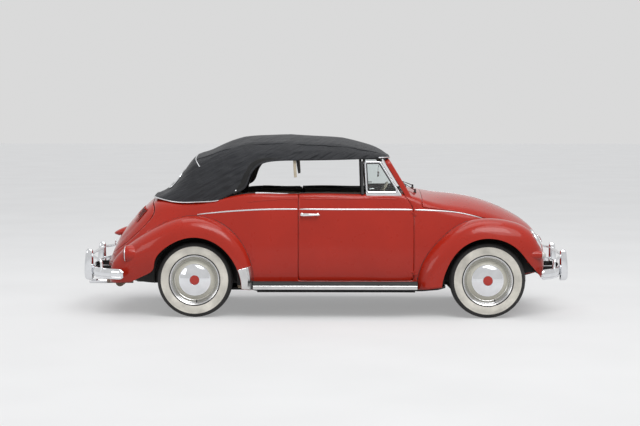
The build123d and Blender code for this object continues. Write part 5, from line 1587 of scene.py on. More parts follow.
# ---------------------------------------------------------------- seats
SEAT_Y, SEAT_VOXEL, SEAT_CAP = 310.0, 14.0, 12.0


PAD_STEPS, SEAT_FRAMES = 30, 20


def pad_start(size, radius, crown, pull):
    """A pad's first form, lying flat about the origin: round edges, a crowned top and drawn-in sides."""
    half = np.array(size, float) / 2
    line = np.linspace(-1, 1, PAD_STEPS + 1)
    a, b = np.meshgrid(line, line, indexing="ij")
    sides, faces = [], []
    for axis in range(3):
        for sign in (-1, 1):
            q = np.empty((len(line), len(line), 3))
            q[..., axis], q[..., (axis + 1) % 3], q[..., (axis + 2) % 3] = sign, a, b
            for quad in grid_faces(len(line), len(line), base=len(sides) * len(line) ** 2):
                faces.append(quad if sign > 0 else quad[::-1])
            sides.append(q.reshape(-1, 3))
    q = np.concatenate(sides) * half
    core = np.clip(q, -(half - radius), half - radius)
    points = core + units(q - core) * radius
    u, v = points[:, 0] / half[0], points[:, 1] / half[1]
    points[:, 2] += np.where(points[:, 2] > 0, crown * (1 - u**2) * (1 - v**2), 0)
    points[:, 0] *= 1 - pull / half[0] * (1 - v**2)
    points[:, 1] *= 1 - pull / half[1] * (1 - u**2)
    return points, faces


def applied(made):
    """The object's mesh with its modifiers worked in."""
    graph = bpy.context.evaluated_depsgraph_get()
    mesh = bpy.data.meshes.new_from_object(made.evaluated_get(graph))
    made.modifiers.clear()
    made.data = mesh
    return mesh


def mesh_points(mesh):
    flat_list = np.empty(len(mesh.vertices) * 3)
    mesh.vertices.foreach_get("co", flat_list)
    return flat_list.reshape(-1, 3)


def swell(points, faces):
    """Fills a closed form like a stuffed pad by cloth simulation; gives its finer points (mm) and faces."""
    mesh = bpy.data.meshes.new("pad")
    mesh.from_pydata([tuple(p) for p in points * MM], [], faces)
    work = bmesh.new()
    work.from_mesh(mesh)
    bmesh.ops.remove_doubles(work, verts=work.verts, dist=1e-5)
    work.to_mesh(mesh)
    work.free()
    pad = bpy.data.objects.new("pad", mesh)
    scene = bpy.context.scene
    scene.collection.objects.link(pad)
    remesh = pad.modifiers.new("voxels", "REMESH")
    remesh.mode, remesh.voxel_size = "VOXEL", SEAT_VOXEL * MM
    start = mesh_points(applied(pad))
    cloth = pad.modifiers.new("filling", "CLOTH")
    cloth.settings.use_pressure = True
    cloth.settings.uniform_pressure_force = 4.0
    cloth.settings.effector_weights.gravity = 0.0
    cloth.point_cache.frame_start, cloth.point_cache.frame_end = 1, SEAT_FRAMES
    for number in range(1, SEAT_FRAMES + 1):
        scene.frame_set(number)
    moved = mesh_points(applied(pad)) - start
    far = np.linalg.norm(moved, axis=1)[:, None]
    start = start + moved * np.minimum(1.0, SEAT_CAP * MM / np.maximum(far, 1e-9))
    pad.data.vertices.foreach_set("co", start.ravel())
    scene.frame_set(1)
    smooth = pad.modifiers.new("finer", "SUBSURF")
    smooth.levels = smooth.render_levels = 1
    mesh = applied(pad)
    result = mesh_points(mesh) / MM, [tuple(p.vertices) for p in mesh.polygons]
    bpy.data.objects.remove(pad)
    return result


def fitted(points, size):
    """The points drawn in or out so that the pad just fills its size."""
    low, high = points.min(0), points.max(0)
    return (points - (low + high) / 2) / (high - low) * np.array(size, float)


def stitched(points, size, margin, pitch, depth):
    """Sewn channels over the sitting side, inside a plain border."""
    half = np.array(size, float) / 2
    x, y, z = points.T.copy()
    inside = np.minimum(half[0] - margin - np.abs(x), half[1] - margin - np.abs(y))
    blend = np.clip(inside / 14.0, 0, 1)
    puff = np.abs(np.sin(math.pi * (y / pitch + 0.5))) ** 0.55
    drop = depth * (1 - puff) * blend + depth * 0.9 * np.exp(-((inside / 5.0) ** 2))
    points = points.copy()
    points[:, 2] -= np.where(z > 0.15 * half[2], drop, 0)
    return points


def seat_pad(name, size, place, pitch, stands_for):
    """One pad with channels and piping. place turns its own points into the car's."""
    verts, faces = swell(*pad_start(np.array(size) - 16, 26, 14, 5))
    verts = stitched(fitted(verts, size), size, 52, pitch, 6.0)
    made = piece(name, (place(verts), faces), SEAT_VINYL, sharp=60, stands_for=stands_for)
    tree = BVHTree.FromPolygons([tuple(v) for v in verts], faces)
    x, y, z = np.array(size) / 2
    welts = Build()
    for high in (z - 17, -z + 15):
        loop = rounded_loop([(-x, -y), (x, -y), (x, y), (-x, y)], 40, 150)
        on = np.array([tree.find_nearest((*point, high))[0] for point in loop])
        welts.sweep(place(on), circle(4.2, 8), up=(0.13, 0.31, 0.94), closed=True)
    welts.piece(f"{name}_piping", PIPING)


def at_cushion(x, y, z):
    return lambda points: points + np.array([x, y, z])


def at_back(foot_x, foot_z, y, lean, length, thick):
    """Stands a pad up: its first direction goes up the back, its sitting side faces forward."""
    s, c = math.sin(math.radians(lean)), math.cos(math.radians(lean))
    turn = np.array([(-s, 0, c), (0, 1, 0), (c, 0, s)])
    middle = np.array([foot_x, y, foot_z]) + turn[0] * length / 2 + turn[2] * thick / 2
    return lambda points: middle + points @ turn


def make_seats():
    for side, word in SIDES:
        y = side * SEAT_Y
        seat_pad(f"front_cushion_{word}", (496, 466, 116), at_cushion(280, y, 440), 66, "front_seats")
        seat_pad(f"front_back_{word}", (562, 466, 106), at_back(-72, 396, y, 14, 564, 108), 66, "front_seats")
    seat_pad("rear_cushion", (356, 972, 116), at_cushion(-480, 0, 440), 77, "rear_seat")
    seat_pad("rear_back", (524, 936, 106), at_back(-762, 382, 0, 10, 528, 108), 77, "rear_seat")
    hinges = Build()
    for side in (-1, 1):
        for edge in (-1, 1):
            y = side * SEAT_Y + edge * 239
            hinges.box((-66, y - 2, 396), (96, y + 2, 424), 1.2)
            hinges.box((-62, y - 2, 400), (-34, y + 2, 512), 1.2)
            hinges.lathe([(-4, 0.4), (-4, 13), (4, 13), (4, 0.4)], (-48, y, 410), (0, 1, 0), 20)
    hinges.piece("front_seat_hinges", DULL_CHROME, sharp=50)


make_seats()


# ---------------------------------------------------------------- dashboard and controls
def on_dash(y, z, out=0.0):
    return (612.0 - out, y, z)


def on_dial(y, z, far, turn, out):
    """A point on a dial about (y, z), at a distance from its middle and a turn from its top."""
    return on_dash(y - far * math.sin(turn), z + far * math.cos(turn), out)


def make_dashboard():
    """Instruments, switches, glovebox and grilles on the dashboard's face, and a padded-looking top roll."""
    bright, dark, ivory, dials = Build(), Build(), Build(), Build()
    look = (-1, 0, 0)
    for y, z, r in ((330, 915, 62), (200, 915, 34)):
        bright.lathe([(0, r + 7), (5, r + 8), (11, r + 4), (12, r), (7, r - 3), (1, r - 3)], on_dash(y, z), look, 72)
        dials.lathe([(1.0, r - 2), (3.0, r - 3), (3.0, 0.4)], on_dash(y, z), look, 72)
        for k in range(25):
            turn = math.radians(-130 + 260 * k / 24)
            mark = (12 if k % 4 == 0 else 7) * r / 62
            path = [on_dial(y, z, far, turn, 3.8) for far in (r - 8 - mark, r - 8)]
            ivory.sweep(path, rounded_box(1.6, 1.0, 0.3, 2), up=(1, 0, 0))
        path = np.linspace(on_dash(y, z, 6.4), on_dial(y, z, r - 16, math.radians(-112), 6.4), 6)
        ivory.sweep(path, circle(1.8, 8), up=(1, 0, 0), scale=np.linspace(1, 0.35, 6))
        bright.lathe([(2.5, 0.4), (2.5, 6), (8, 5), (9.5, 0.4)], on_dash(y, z), look, 24)
    # speaker and radio grilles: upright bright slats over a dark opening
    dark.box(on_dash(-122, 868, 3), on_dash(122, 966, -2), 1.4)
    for k in range(21):
        y = -114 + k * 11.4
        if abs(y) < 52:
            for z0, z1 in ((872, 900), (934, 962)):
                bright.box(on_dash(y - 2.2, z0, 7), on_dash(y + 2.2, z1, 1), 1.2)
        else:
            bright.box(on_dash(y - 2.2, 872, 7), on_dash(y + 2.2, 962, 1), 1.2)
    bright.box(on_dash(-48, 904, 9), on_dash(48, 930, 1), 2.5)
    dark.box(on_dash(-38, 910, 10.5), on_dash(38, 924, 1), 2.0)
    for y in (-66, 66):
        ivory.lathe([(1, 8), (4, 12), (20, 11), (24, 8), (24, 0.4)], on_dash(y, 917), look, 28)
    # knobs in a row below, a glovebox lid with its button, an ashtray
    for y in (420, 248, 168, -160, -205):
        ivory.lathe([(0, 4), (14, 4), (16, 10), (23, 11), (28, 7), (29, 0.4)], on_dash(y, 862), look, 24)
    at = flat(on_dash(-350, 912, 0.4), (0, -1, 0), (0, 0, 1))
    lid = rounded_loop([(-118, -48), (118, -48), (118, 44), (-118, 44)], 16, 120)
    dark.add(ring_form(at, lid, shrunk(lid, 2.6), 0.9, -1.0, 0.3))
    ivory.lathe([(0, 9), (6, 11), (11, 8), (12, 0.4)], on_dash(-262, 912), look, 24)
    bright.lathe([(0, 15), (3, 15), (4, 12), (1, 11)], on_dash(-262, 912), look, 28)
    bright.box(on_dash(-30, 846, 6), on_dash(30, 862, -1), 2.0)
    # columns: away from the handle's middle, height, out
    grab = (
        (-120, 948, 2), (-118, 950, 26), (-102, 951, 36), (0, 952, 38), (102, 951, 36), (118, 950, 26), (120, 948, 2)
    )
    ivory.sweep(smooth_line([on_dash(y - 350, z, out) for y, z, out in grab], 60), circle(8, 12, 0.8))
    for y in (-485, 485):
        dark.lathe([(0, 0.4), (0, 16), (3, 16), (4, 0.4)], on_dash(y, 900), look, 24)
    line = [on_dash(y, hull_top(612, abs(y)) - 26 - 6 * (abs(y) / 520) ** 2, -4) for y in np.linspace(-512, 512, 60)]
    dark.sweep(line, rounded_box(30, 22, 10, 5))
    bright.sweep([on_dash(y, 846, 0.5) for y in np.linspace(-500, 500, 40)], rounded_box(5, 4, 1.5, 3))
    bright.piece("dash_bright", CHROME, sharp=45)
    dark.piece("dash_dark", RUBBER, sharp=45)
    ivory.piece("dash_knobs", IVORY_PLASTIC, sharp=45)
    dials.piece("dash_dials", DIAL_BLACK, sharp=45)


make_dashboard()


def wheel_space():
    """The steering wheel's middle and its three directions: across, up the rim, and away from the driver."""
    s, c = math.sin(math.radians(30)), math.cos(math.radians(30))
    return np.array([(440.0, 330.0, 897.0), (0, 1, 0), (s, 0, c), (c, 0, -s)])


def make_steering_wheel():
    middle, across, up, away = wheel_space()

    def at(right, high, deep):
        return middle + across * right + up * high + away * deep

    rim, bright = Build(), Build()
    turns = full_turn(120)
    grips = [1 + 0.045 * math.cos(36 * t) * (1 if math.sin(t) < 0.75 else 0) for t in turns]
    path = np.array([at(188 * math.cos(t), 188 * math.sin(t), 0) for t in turns])
    rim.sweep(path, circle(11.2, 14), up=away, closed=True, scale=grips)
    for side in (-1, 1):
        for lift in (-7, 7):
            spoke = []
            for r in np.linspace(20, 182, 14):
                high = -6 + lift * (1 - r / 240) - 14 * (r / 188) ** 2
                spoke.append(at(side * r, high, 12 - 12 * (r / 188)))
            rim.sweep(spoke, circle(4.6, 10), up=away)
    rim.lathe([(34, 24), (30, 32), (10, 34), (-4, 33), (-10, 27), (-11, 22)], middle, away, 48)
    rim.lathe([(30, 20), (58, 20), (60, 24), (68, 24)], middle, away, 40)
    bright.lathe([(-8, 27), (-12, 24), (-16, 16), (-17.5, 0.4)], middle, away, 48)
    arc_turns = np.linspace(math.radians(200), math.radians(340), 60)
    ring = np.array([at(120 * math.cos(t), 120 * math.sin(t) - 4, 2) for t in arc_turns])
    bright.sweep(ring, circle(3.6, 10), up=away)
    for t in (arc_turns[0], arc_turns[-1]):
        ends = np.array([at(r * math.cos(t), r * math.sin(t) - 4, 2) for r in np.linspace(28, 121, 8)])
        bright.sweep(ends, circle(3.0, 10), up=away)
    rim.piece("steering_wheel_rim", IVORY_PLASTIC, "steering_wheel", stands_for="steering_wheel")
    bright.piece("steering_wheel_horn", CHROME, "steering_wheel")
    stalk = Build()
    lever = [at(s, s * 0.12, 84) - (s * 0.12, 0, 0) for s in np.linspace(16, 150, 16)]
    stalk.sweep(lever, circle(3.2, 10), up=(1, 0, 0))
    stalk.lathe([(-3, 0.4), (-2, 7), (4, 9), (12, 8), (15, 0.4)], lever[-1], lever[-1] - lever[-2], 20)
    stalk.piece("turn_signal_lever", IVORY_PLASTIC)


make_steering_wheel()


# a floor mat with rounded ribs along the car; columns: y, z
MAT_SECTION = [(78, 224.0)]
for rib in range(39):
    rib_y = 84 + rib * 12
    MAT_SECTION += [(rib_y - 3.4, 228.5), (rib_y - 2.2, 231.5), (rib_y + 2.2, 231.5), (rib_y + 3.4, 228.5)]
MAT_SECTION.append((556, 224.0))


def make_floor_controls():
    """Pedals, gear lever, hand brake and the ribbed floor mats."""
    steel, black, ivory = Build(), Build(), Build()
    for y, z in ((398, 330), (318, 330)):
        arm = smooth_line([(800, y, 236), (770, y, 262), (742, y, 306), (734, y, z)], 16)
        steel.sweep(arm, circle(6, 10), up=(0, 1, 0))
        black.sweep([(729, y, z - 22), (719, y, z + 28)], rounded_box(62, 10, 4, 3), up=(-0.98, 0, -0.2))
    black.sweep([(784, 232, 236), (748, 232, 318)], rounded_box(58, 9, 4, 3), up=(-0.9, 0, -0.4))
    steel.sweep([(790, 232, 226), (780, 232, 262)], circle(5, 8), up=(0, 1, 0))
    lever = smooth_line([(300, 0, 338), (303, 0, 420), (290, 0, 520), (262, 0, 610)], 30)
    steel.sweep(lever, circle(5.5, 12), up=(0, 1, 0))
    ivory.lathe([(-14, 6), (-10, 12), (2, 18), (14, 18), (22, 12), (25, 0.4)], lever[-1], lever[-1] - lever[-3], 28)
    for k in range(6):
        black.lathe([(0, 46 - 6 * k), (5, 47 - 6 * k), (9, 41 - 6 * k)], (301, 0, 340 + 8 * k), (0, 0, 1), 32)
    brake = smooth_line([(60, 0, 340), (40, 0, 372), (-60, 0, 470), (-92, 0, 496)], 30)
    steel.sweep(brake, rounded_box(18, 26, 6, 3))
    black.sweep(smooth_line([(-70, 0, 478), (-92, 0, 496), (-160, 0, 530)], 16), circle(13, 14))
    for side in (1, -1):
        for x_from, x_to in ((470, 826), (-270, 40)):
            black.add(extruded([(side * y, z) for y, z in MAT_SECTION], x_from, x_to, 3))
    black.sweep([(20, 0, 343), (-860, 0, 343)], rounded_box(150, 8, 3, 3))
    steel.piece("cabin_levers", DULL_CHROME, sharp=50)
    black.piece("cabin_rubber", MAT, sharp=40)
    ivory.piece("gear_knob", IVORY_PLASTIC)


def make_mirror_and_visors():
    stem = smooth_line([(486, 0, 1300), (470, 0, 1262), (452, 0, 1215), (447, 0, 1178)], 26)
    mirror, glass = Build(), Build()
    mirror.sweep(stem, circle(4.2, 10), up=(0, 1, 0))
    mirror.lathe([(-3, 24), (2, 22), (5, 10), (5, 0.4)], (486, 0, 1296), (-0.5, 0, -0.86), 28)
    at = flat((440, 0, 1152), (0, -1, 0), (0.10, 0, 1))
    oval = np.array([(96 * math.cos(t) * (1 - 0.08 * math.sin(t) ** 2), 24 * math.sin(t)) for t in full_turn(80)])
    shell = ((0.97, -0.5), (1, -3), (0.985, -7), (0.9, -13), (0.5, -17), (0.02, -18))
    mirror.add(grid_form([at(oval * size, deep) for size, deep in shell], wrap=True))
    glass.add(pane_form(at, oval * 0.965, 0.4, -2))
    mirror.piece("cabin_mirror_shell", CHROME)
    glass.piece("cabin_mirror_glass", MIRROR, sharp=30)

    for side, word in SIDES:
        visor = flat((470, side * 250.0, 1276), (0, side, 0), (-0.85, 0, 0.34))
        shape = rounded_loop([(-190, 0), (190, 0), (182, 118), (-182, 118)], 26, 100)
        pads = Build().add(ring_form(visor, shape, shrunk(shape, 9), 5, -5, 3))
        pads.add(pane_form(visor, shrunk(shape, 8), 3.5, -3.5))
        pads.piece(f"sun_visor_{word}", LINING, sharp=50)


make_floor_controls()
make_mirror_and_visors()




# ---------------------------------------------------------------- cabin sides
STRAP_Y = 531.0  # how far out the hanging straps are


def flank_points(xs, zs, side, inset):
    """A grid of points on the hull's side, moved in by an inset."""
    rows = []
    for x in xs:
        half = hull_half(x)[CROWN_STEPS:]
        order = np.argsort(half[:, 1])
        y = np.interp(zs, half[order, 1], half[order, 0]) - inset
        rows.append(np.column_stack([np.full(len(zs), x), side * y, zs]))
    return np.array(rows)


def card(name, body, side, x_range, z_range, inset, field, material=SEAT_VINYL, tufts=None):
    """A trim panel that follows the body's side, clipped by a field of x and z, with pressed lines."""
    columns = max(5, int((x_range[1] - x_range[0]) / 22))
    rows = max(12, int((z_range[1] - z_range[0]) / (8 if tufts else 16)))
    points = flank_points(np.linspace(*x_range, columns), np.linspace(*z_range, rows), side, inset)
    if tufts:
        for z_line in tufts:
            points[..., 1] += side * 3.0 * np.exp(-(((points[..., 2] - z_line) / 6.0) ** 2))
    verts, faces = grid_form(points)
    form = clip(verts, faces, field(verts[:, 0], verts[:, 2]))
    two_sided(name, form, 3.0, material, body=body, slot="seat_leather")


def make_cabin_sides():
    for side, word in SIDES:
        body = f"door_{word}"

        def door_inside(x, z):
            return meet(door_field(x, np.full_like(x, 600.0), z, -14.0), z - 978)

        card(
            f"door_card_{word}", body, side, (-205, 716), (318, 980), DOOR_DEPTH + 2, door_inside,
            tufts=(430, 640, 870),
        )
        trims, dark = Build(), Build()

        def spot(x, z, deep=DOOR_DEPTH + 2):
            return np.array([x, side * (hull_width(x, z) - deep), z])

        rail = [spot(x, 985, DOOR_DEPTH - 4) + (0, 0, 4) for x in np.linspace(-212, 648, 40)]
        dark.sweep(rail, rounded_box(40, 46, 12, 4))
        for line_z in (430, 640, 870):
            trims.sweep([spot(x, line_z) for x in np.linspace(-196, 700, 40)], circle(2.2, 8))
        hub = spot(360, 700)
        inward = np.array([0, -side, 0.0])
        trims.lathe([(0, 26), (5, 25), (9, 16), (22, 12), (24, 0.4)], hub, inward, 32)
        crank = [hub + inward * 18, hub + inward * 24 + (-40, 0, -22), hub + inward * 30 + (-84, 0, -46)]
        trims.sweep(smooth_line(crank, 18), circle(6, 10, 0.7), up=inward)
        dark.lathe([(0, 7), (4, 9), (26, 9), (30, 0.4)], crank[-1], inward, 20)
        catch = spot(120, 800)
        trims.lathe([(0, 22), (5, 21), (9, 12), (18, 9), (19, 0.4)], catch, inward, 32)
        trims.sweep([catch + inward * 15, catch + inward * 18 + (70, 0, 6)], rounded_box(14, 6, 2.5, 3), up=inward)
        # columns: x, z, out
        pull = ((420, 836, 0), (410, 838, 30), (310, 842, 38), (200, 838, 30), (190, 836, 0))
        pull = smooth_line([spot(x, z) + inward * out for x, z, out in pull], 40)
        dark.sweep(pull, rounded_box(26, 12, 5, 4))
        trims.piece(f"door_card_bright_{word}", CHROME, body, sharp=45)
        dark.piece(f"door_card_dark_{word}", RUBBER, body, sharp=45)

        def quarter(x, z):
            arch = np.hypot(x - REAR_AXLE_X, z - AXLE_Z) - 352
            return meet(-arch, x + 226, -872 - x, z - 1000, 236 - z)

        card(f"quarter_card_{word}", "body", side, (-876, -222), (232, 1004), 34, quarter, tufts=(640, 870))
        card(
            f"kick_panel_{word}", "body", side, (738, 830), (232, 905), 30,
            lambda x, z: meet(742 - x, x - 828, z - 900, 236 - z),
        )
        card(
            f"lock_pillar_{word}", "body", side, (-236, -194), (300, 1004), DOOR_DEPTH + 22,
            lambda x, z: meet(-232 - x, x + 198, z - 1002, 304 - z), STRIP_RUBBER,
        )
        seals = Build()
        rail = [(x, side * (hull_width(x, 990) - 40), 990) for x in np.linspace(-870, -222, 30)]
        seals.sweep(rail, rounded_box(40, 40, 12, 4))
        # the dark bead round the cabin's edge
        edge = [(x, y, hull_top(x, abs(y)) + 1) for x, y in COCKPIT_LOOP if x < -226 and y * side > 0]
        edge.sort(key=lambda p: p[0])
        seals.sweep(smooth_line(edge, 110), circle(6, 10))
        seals.piece(f"quarter_seal_{word}", RUBBER, sharp=45)
        run = [(x, side * 557, hull_top(x, 557) + 2) for x in np.linspace(-214, 590, 60)]
        bead = sweep(run, rounded_box(10, 12, 4, 4))
        piece(f"door_belt_seal_{word}", bead, RUBBER, body, sharp=45)
        # the hanging strap and the top's clamp handle beside it
        strap = [(x, side * STRAP_Y, z) for x, z in ((-254, 1288), (-252, 1240), (-249, 1190), (-246, 1146))]
        strap = sweep(smooth_line(strap, 24), rounded_box(24, 3, 1.2, 3), (0, 1, 0))
        piece(f"cabin_strap_{word}", strap, PIPING, sharp=50)
        if side < 0:
            handle = [(x, side * STRAP_Y, z) for x, z in ((-232, 1290), (-226, 1250), (-214, 1180))]
            handle = sweep(smooth_line(handle, 20), rounded_box(20, 8, 3, 3), (0, 1, 0))
            piece(f"cabin_clamp_{word}", handle, BLACK_PAINT, sharp=50)


make_cabin_sides()


# ---------------------------------------------------------------- bright and painted trim outside
SIDE_STRIP = spline((-1056, -779, -532, 0, 400, 709, 906, 1141, 1306), (841, 871, 886, 889, 888, 885, 875, 846, 803))


def side_run(x_from, x_to, height, count):
    """Points along the hull's right side at a height given for each x."""
    return np.array([(x, -(hull_width(x, height(x)) + 1), height(x)) for x in np.linspace(x_from, x_to, count)])


def ends_thin(run, reach=40.0):
    """A size for each point that thins a strip towards both ends."""
    far = lengths(run)
    near = np.minimum(far, far[-1] - far)
    return 0.25 + 0.75 * np.sqrt(np.clip(near / reach, 0, 1))


def strip_height(x):
    return float(SIDE_STRIP(x)[0])


def put_on_sides(name, run, profile, material, on_door=False):
    """A strip on the right side and its mirror image on the left; a door's strip rides on its door."""
    strip = Build().sweep(run, profile, scale=ends_thin(run))
    if not on_door:
        strip.mirrored().piece(name, material, sharp=50)
        return
    strip.piece(f"{name}_right", material, "door_right", sharp=50)
    other = sweep(run * (1, -1, 1), profile, scale=ends_thin(run))
    piece(f"{name}_left", other, material, "door_left", sharp=50)


def make_side_trim():
    half_round, swage = circle(3.6, 12, 1.7), circle(2.4, 10, 2.2)
    put_on_sides("side_strip_rear", side_run(-1056, -226, strip_height, 90), half_round, CHROME)
    put_on_sides("side_strip_door", side_run(-213, 719, strip_height, 90), half_round, CHROME, on_door=True)
    put_on_sides("side_strip_front", side_run(734, 1306, strip_height, 80), half_round, CHROME)
    rear = side_run(-640, -226, lambda x: 973 - 0.00016 * (x + 226) ** 2, 50)
    put_on_sides("belt_crease_rear", rear, swage, PAINT)
    put_on_sides("belt_crease_door", side_run(-213, 600, lambda x: 973.0, 60), swage, PAINT, on_door=True)
    quarter = np.array([(x, -(566 + 12 * (x + 575) / 270), hull_top(x, 574) + 4) for x in np.linspace(-575, -305, 40)])
    wedge = Build().sweep(quarter, rounded_box(15, 15, 5, 4), scale=np.linspace(1.0, 0.3, 40)).mirrored()
    wedge.piece("quarter_strip", CHROME, sharp=50)

    # the stone guards on the rear wings' lower front, ribbed upright with a rolled top
    table = np.array(REAR_WING, float)
    at = spline(table[:, 0], table[:, 1:])
    rows = []
    for angle in np.linspace(-9.6, 14.2, 30):
        line = resample(wing_profile(at(angle)[0], 40)[:22], 64)
        rib = 1.4 * np.abs(np.sin(math.pi * np.arange(64) / 10.0)) + (2.4 if angle > 13.2 else 1.2)
        normal = normals(line)
        normal *= np.sign(normal[:, :1] + normal[:, 1:] + 1e-9)
        rows.append([on_spoke(REAR_AXLE_X, angle, r, w, -1) for r, w in line + normal * rib[:, None]])
    two_sided("stone_guards", Build().add(grid_form(rows)).mirrored().form(), 1.0, DULL_CHROME)


# columns: x, half height of a door handle's grip
GRIP_SIZES = (
    (-203, 3), (-201, 8), (-194, 11), (-178, 12.5), (-160, 12), (-120, 10.5), (-80, 8.6), (-54, 6.6), (-45, 4.6),
    (-42, 2),
)


def make_handles():
    """The outer door handles and the hinges."""
    for side, word in SIDES:
        grip = Build()
        rows = []
        for x, high in GRIP_SIZES:
            y = hull_width(x, 845) + 30 - 9 * ((x + 110) / 90.0) ** 2
            wide = 6.5 * min(1, high / 8)
            rows.append([(x, side * (y + wide * math.cos(t)), 846 + high * math.sin(t)) for t in full_turn(24)])
        grip.add(grid_form(rows, wrap=True))
        out = (0, side, 0)
        for x, r in ((-190, 8), (-62, 6)):
            foot = (x, side * hull_width(x, 846), 846)
            grip.lathe([(-3, r + 6), (1.5, r + 5.5), (4, r), (25, r * 0.8)], foot, out, 24)
        lock = (-186, side * (hull_width(-186, 846) + 26), 846)
        grip.lathe([(4, 0.4), (4, 9), (7, 9), (8, 7), (8, 0.4)], lock, out, 24)
        grip.piece(f"door_handle_{word}_lever", CHROME, f"door_{word}", stands_for=f"door_handle_{word}")
        for z in (365, 851):
            upper, lower = Build(), Build()
            y = side * (hull_width(730, z) + 2)
            knuckle = ((1, 0.4), (1, 8.2), (15, 8.2), (17, 6.5), (17, 0.4))
            upper.lathe(knuckle, (730, y, z), (0, 0, 1), 20)
            upper.box((706, y - 4, z + 1), (730, y + 4, z + 15), 1.5)
            lower.lathe([(-w, r) for w, r in knuckle], (730, y, z), (0, 0, 1), 20)
            lower.box((730, y - 4, z - 15), (754, y + 4, z - 1), 1.5)
            upper.piece(f"door_hinge_{word}_{z}_leaf", PAINT, f"door_{word}")
            lower.piece(f"door_hinge_{word}_{z}_base", PAINT)


TAIL_XS = np.linspace(HULL[0][0], -1340, 90)


@lru_cache(maxsize=None)
def tail_heights(y):
    return np.array([hull_top(x, y) for x in TAIL_XS])


def tail_x(y, z):
    """Where the hull's tail lies at a distance from the middle and a height."""
    return float(np.interp(z, tail_heights(round(abs(y), 2)), TAIL_XS))


def tail_point(y, z, out=0.0):
    """A point on the tail, moved out square to it."""
    here = np.array([tail_x(y, z), y, z])
    along_y = np.array([tail_x(y + 12, z), y + 12, z]) - np.array([tail_x(y - 12, z), y - 12, z])
    along_z = np.array([tail_x(y, z + 12), y, z + 12]) - np.array([tail_x(y, z - 12), y, z - 12])
    normal = np.cross(along_z, along_y)
    normal /= np.linalg.norm(normal)
    if normal[0] > 0:
        normal = -normal
    return here + normal * out, normal


def make_lid_details():
    """Louvres, the housing over the plate, its lamp, and the handle, all on the engine lid."""
    fins, slot_shade = Build(), Build()
    for side in (-1, 1):
        for k in range(10):
            y = side * (150 + 26.5 * k)
            top, low = 886 - 1.5 * k, 762 - 0.5 * k
            line = np.array([tail_point(y, z, 2.0)[0] for z in np.linspace(top, low, 14)])
            normal = tail_point(y, (top + low) / 2)[1]
            swell_up = np.sin(np.linspace(0.12, math.pi - 0.12, 14)) ** 0.5
            fins.sweep(line, circle(7.6, 12, 0.6), up=normal, scale=swell_up)
            # the dark rubber strip beside each fin is painted shade: it stands for the dark opening between the
            # louvres
            gap_line = line[1:-1] + np.array([0, side * 7.6, 0]) + normal * 0.4
            slot_shade.sweep(gap_line, rounded_box(4.5, 3.4, 1.2, 3), up=normal)
    fins.piece("lid_louvres", PAINT, "engine_lid")
    slot_shade.piece("lid_louvre_slot_shade", RUBBER, "engine_lid")

    grip = Build()
    normal = tail_point(0, 655)[1]
    out = normal * 0.55 + np.array([-0.62, 0, -0.22])
    rows = []
    for share in np.linspace(0, 1, 16):
        tall, high = math.sin(share * math.pi / 2), math.cos(share * math.pi / 2) ** 0.8
        row = []
        for t in full_turn(48):
            y = 74 * tall * math.cos(t)
            z = 655 + (46 if math.sin(t) > 0 else 36) * tall * math.sin(t)
            row.append(tail_point(y, z, -3)[0] + out * 92 * high * (0.78 - 0.36 * math.sin(t) * tall))
        rows.append(row)
    piece("plate_lamp_housing", grid_form(rows, wrap=True), PAINT, "engine_lid", sharp=60)
    spot = tail_point(0, 618, 26)[0]
    piece("plate_lamp_glass", box_form(spot + (-9, -40, -9), spot + (9, 40, 3), 3), LENS, "engine_lid")
    base, way = tail_point(0, 545, 0)
    grip.lathe([(-2, 20), (3, 19), (7, 12), (22, 9), (24, 9)], base, way, 32)
    bar = np.array([base + way * 27 + np.array([0, 0, s]) for s in np.linspace(-22, 26, 12)])
    grip.sweep(bar, rounded_box(22, 11, 4, 4), up=way, scale=[0.5, 0.8, 0.95, 1, 1, 1, 1, 1, 0.98, 0.9, 0.75, 0.5])
    grip.piece("lid_handle", CHROME, "engine_lid", sharp=50)
    plate = Build()
    for y in (-104, 104):
        at, way = tail_point(y, 575, 0)
        plate.lathe([(-2, 9), (3, 9), (5, 5), (5, 0.4)], at, way, 18)
    plate.piece("lid_plate_studs", DULL_CHROME, "engine_lid")


def make_hood_details():
    strip = np.array([(x, 0, hull_top(x, 0) + 1.0) for x in np.linspace(836, 1690, 90)])
    piece("hood_strip", sweep(strip, circle(4.5, 12, 0.35), scale=ends_thin(strip, 120)), CHROME, "hood")
    handle = Build()
    feet = []
    for x in (1818, 1844):
        slope = (hull_top(x + 4, 0) - hull_top(x - 4, 0)) / 8
        way = np.array([-slope, 0, 1.0]) / math.hypot(slope, 1)
        feet.append((np.array([x, 0, hull_top(x, 0)]), way))
        handle.lathe([(-3, 11), (2, 10), (5, 7), (13, 5.5)], feet[-1][0], way, 28)
    first, last = feet[0][0] + feet[0][1] * 14, feet[1][0] + feet[1][1] * 14
    ahead = (last - first) / np.linalg.norm(last - first)
    middle = (first + last) / 2 + feet[0][1] * 3
    line = smooth_line([first - ahead * 16, first, middle, last, last + ahead * 12], 30)
    handle.sweep(line, circle(8, 14, 0.55), up=feet[0][1], scale=ends_thin(line, 18))
    handle.piece("hood_handle", CHROME, "hood", sharp=60)


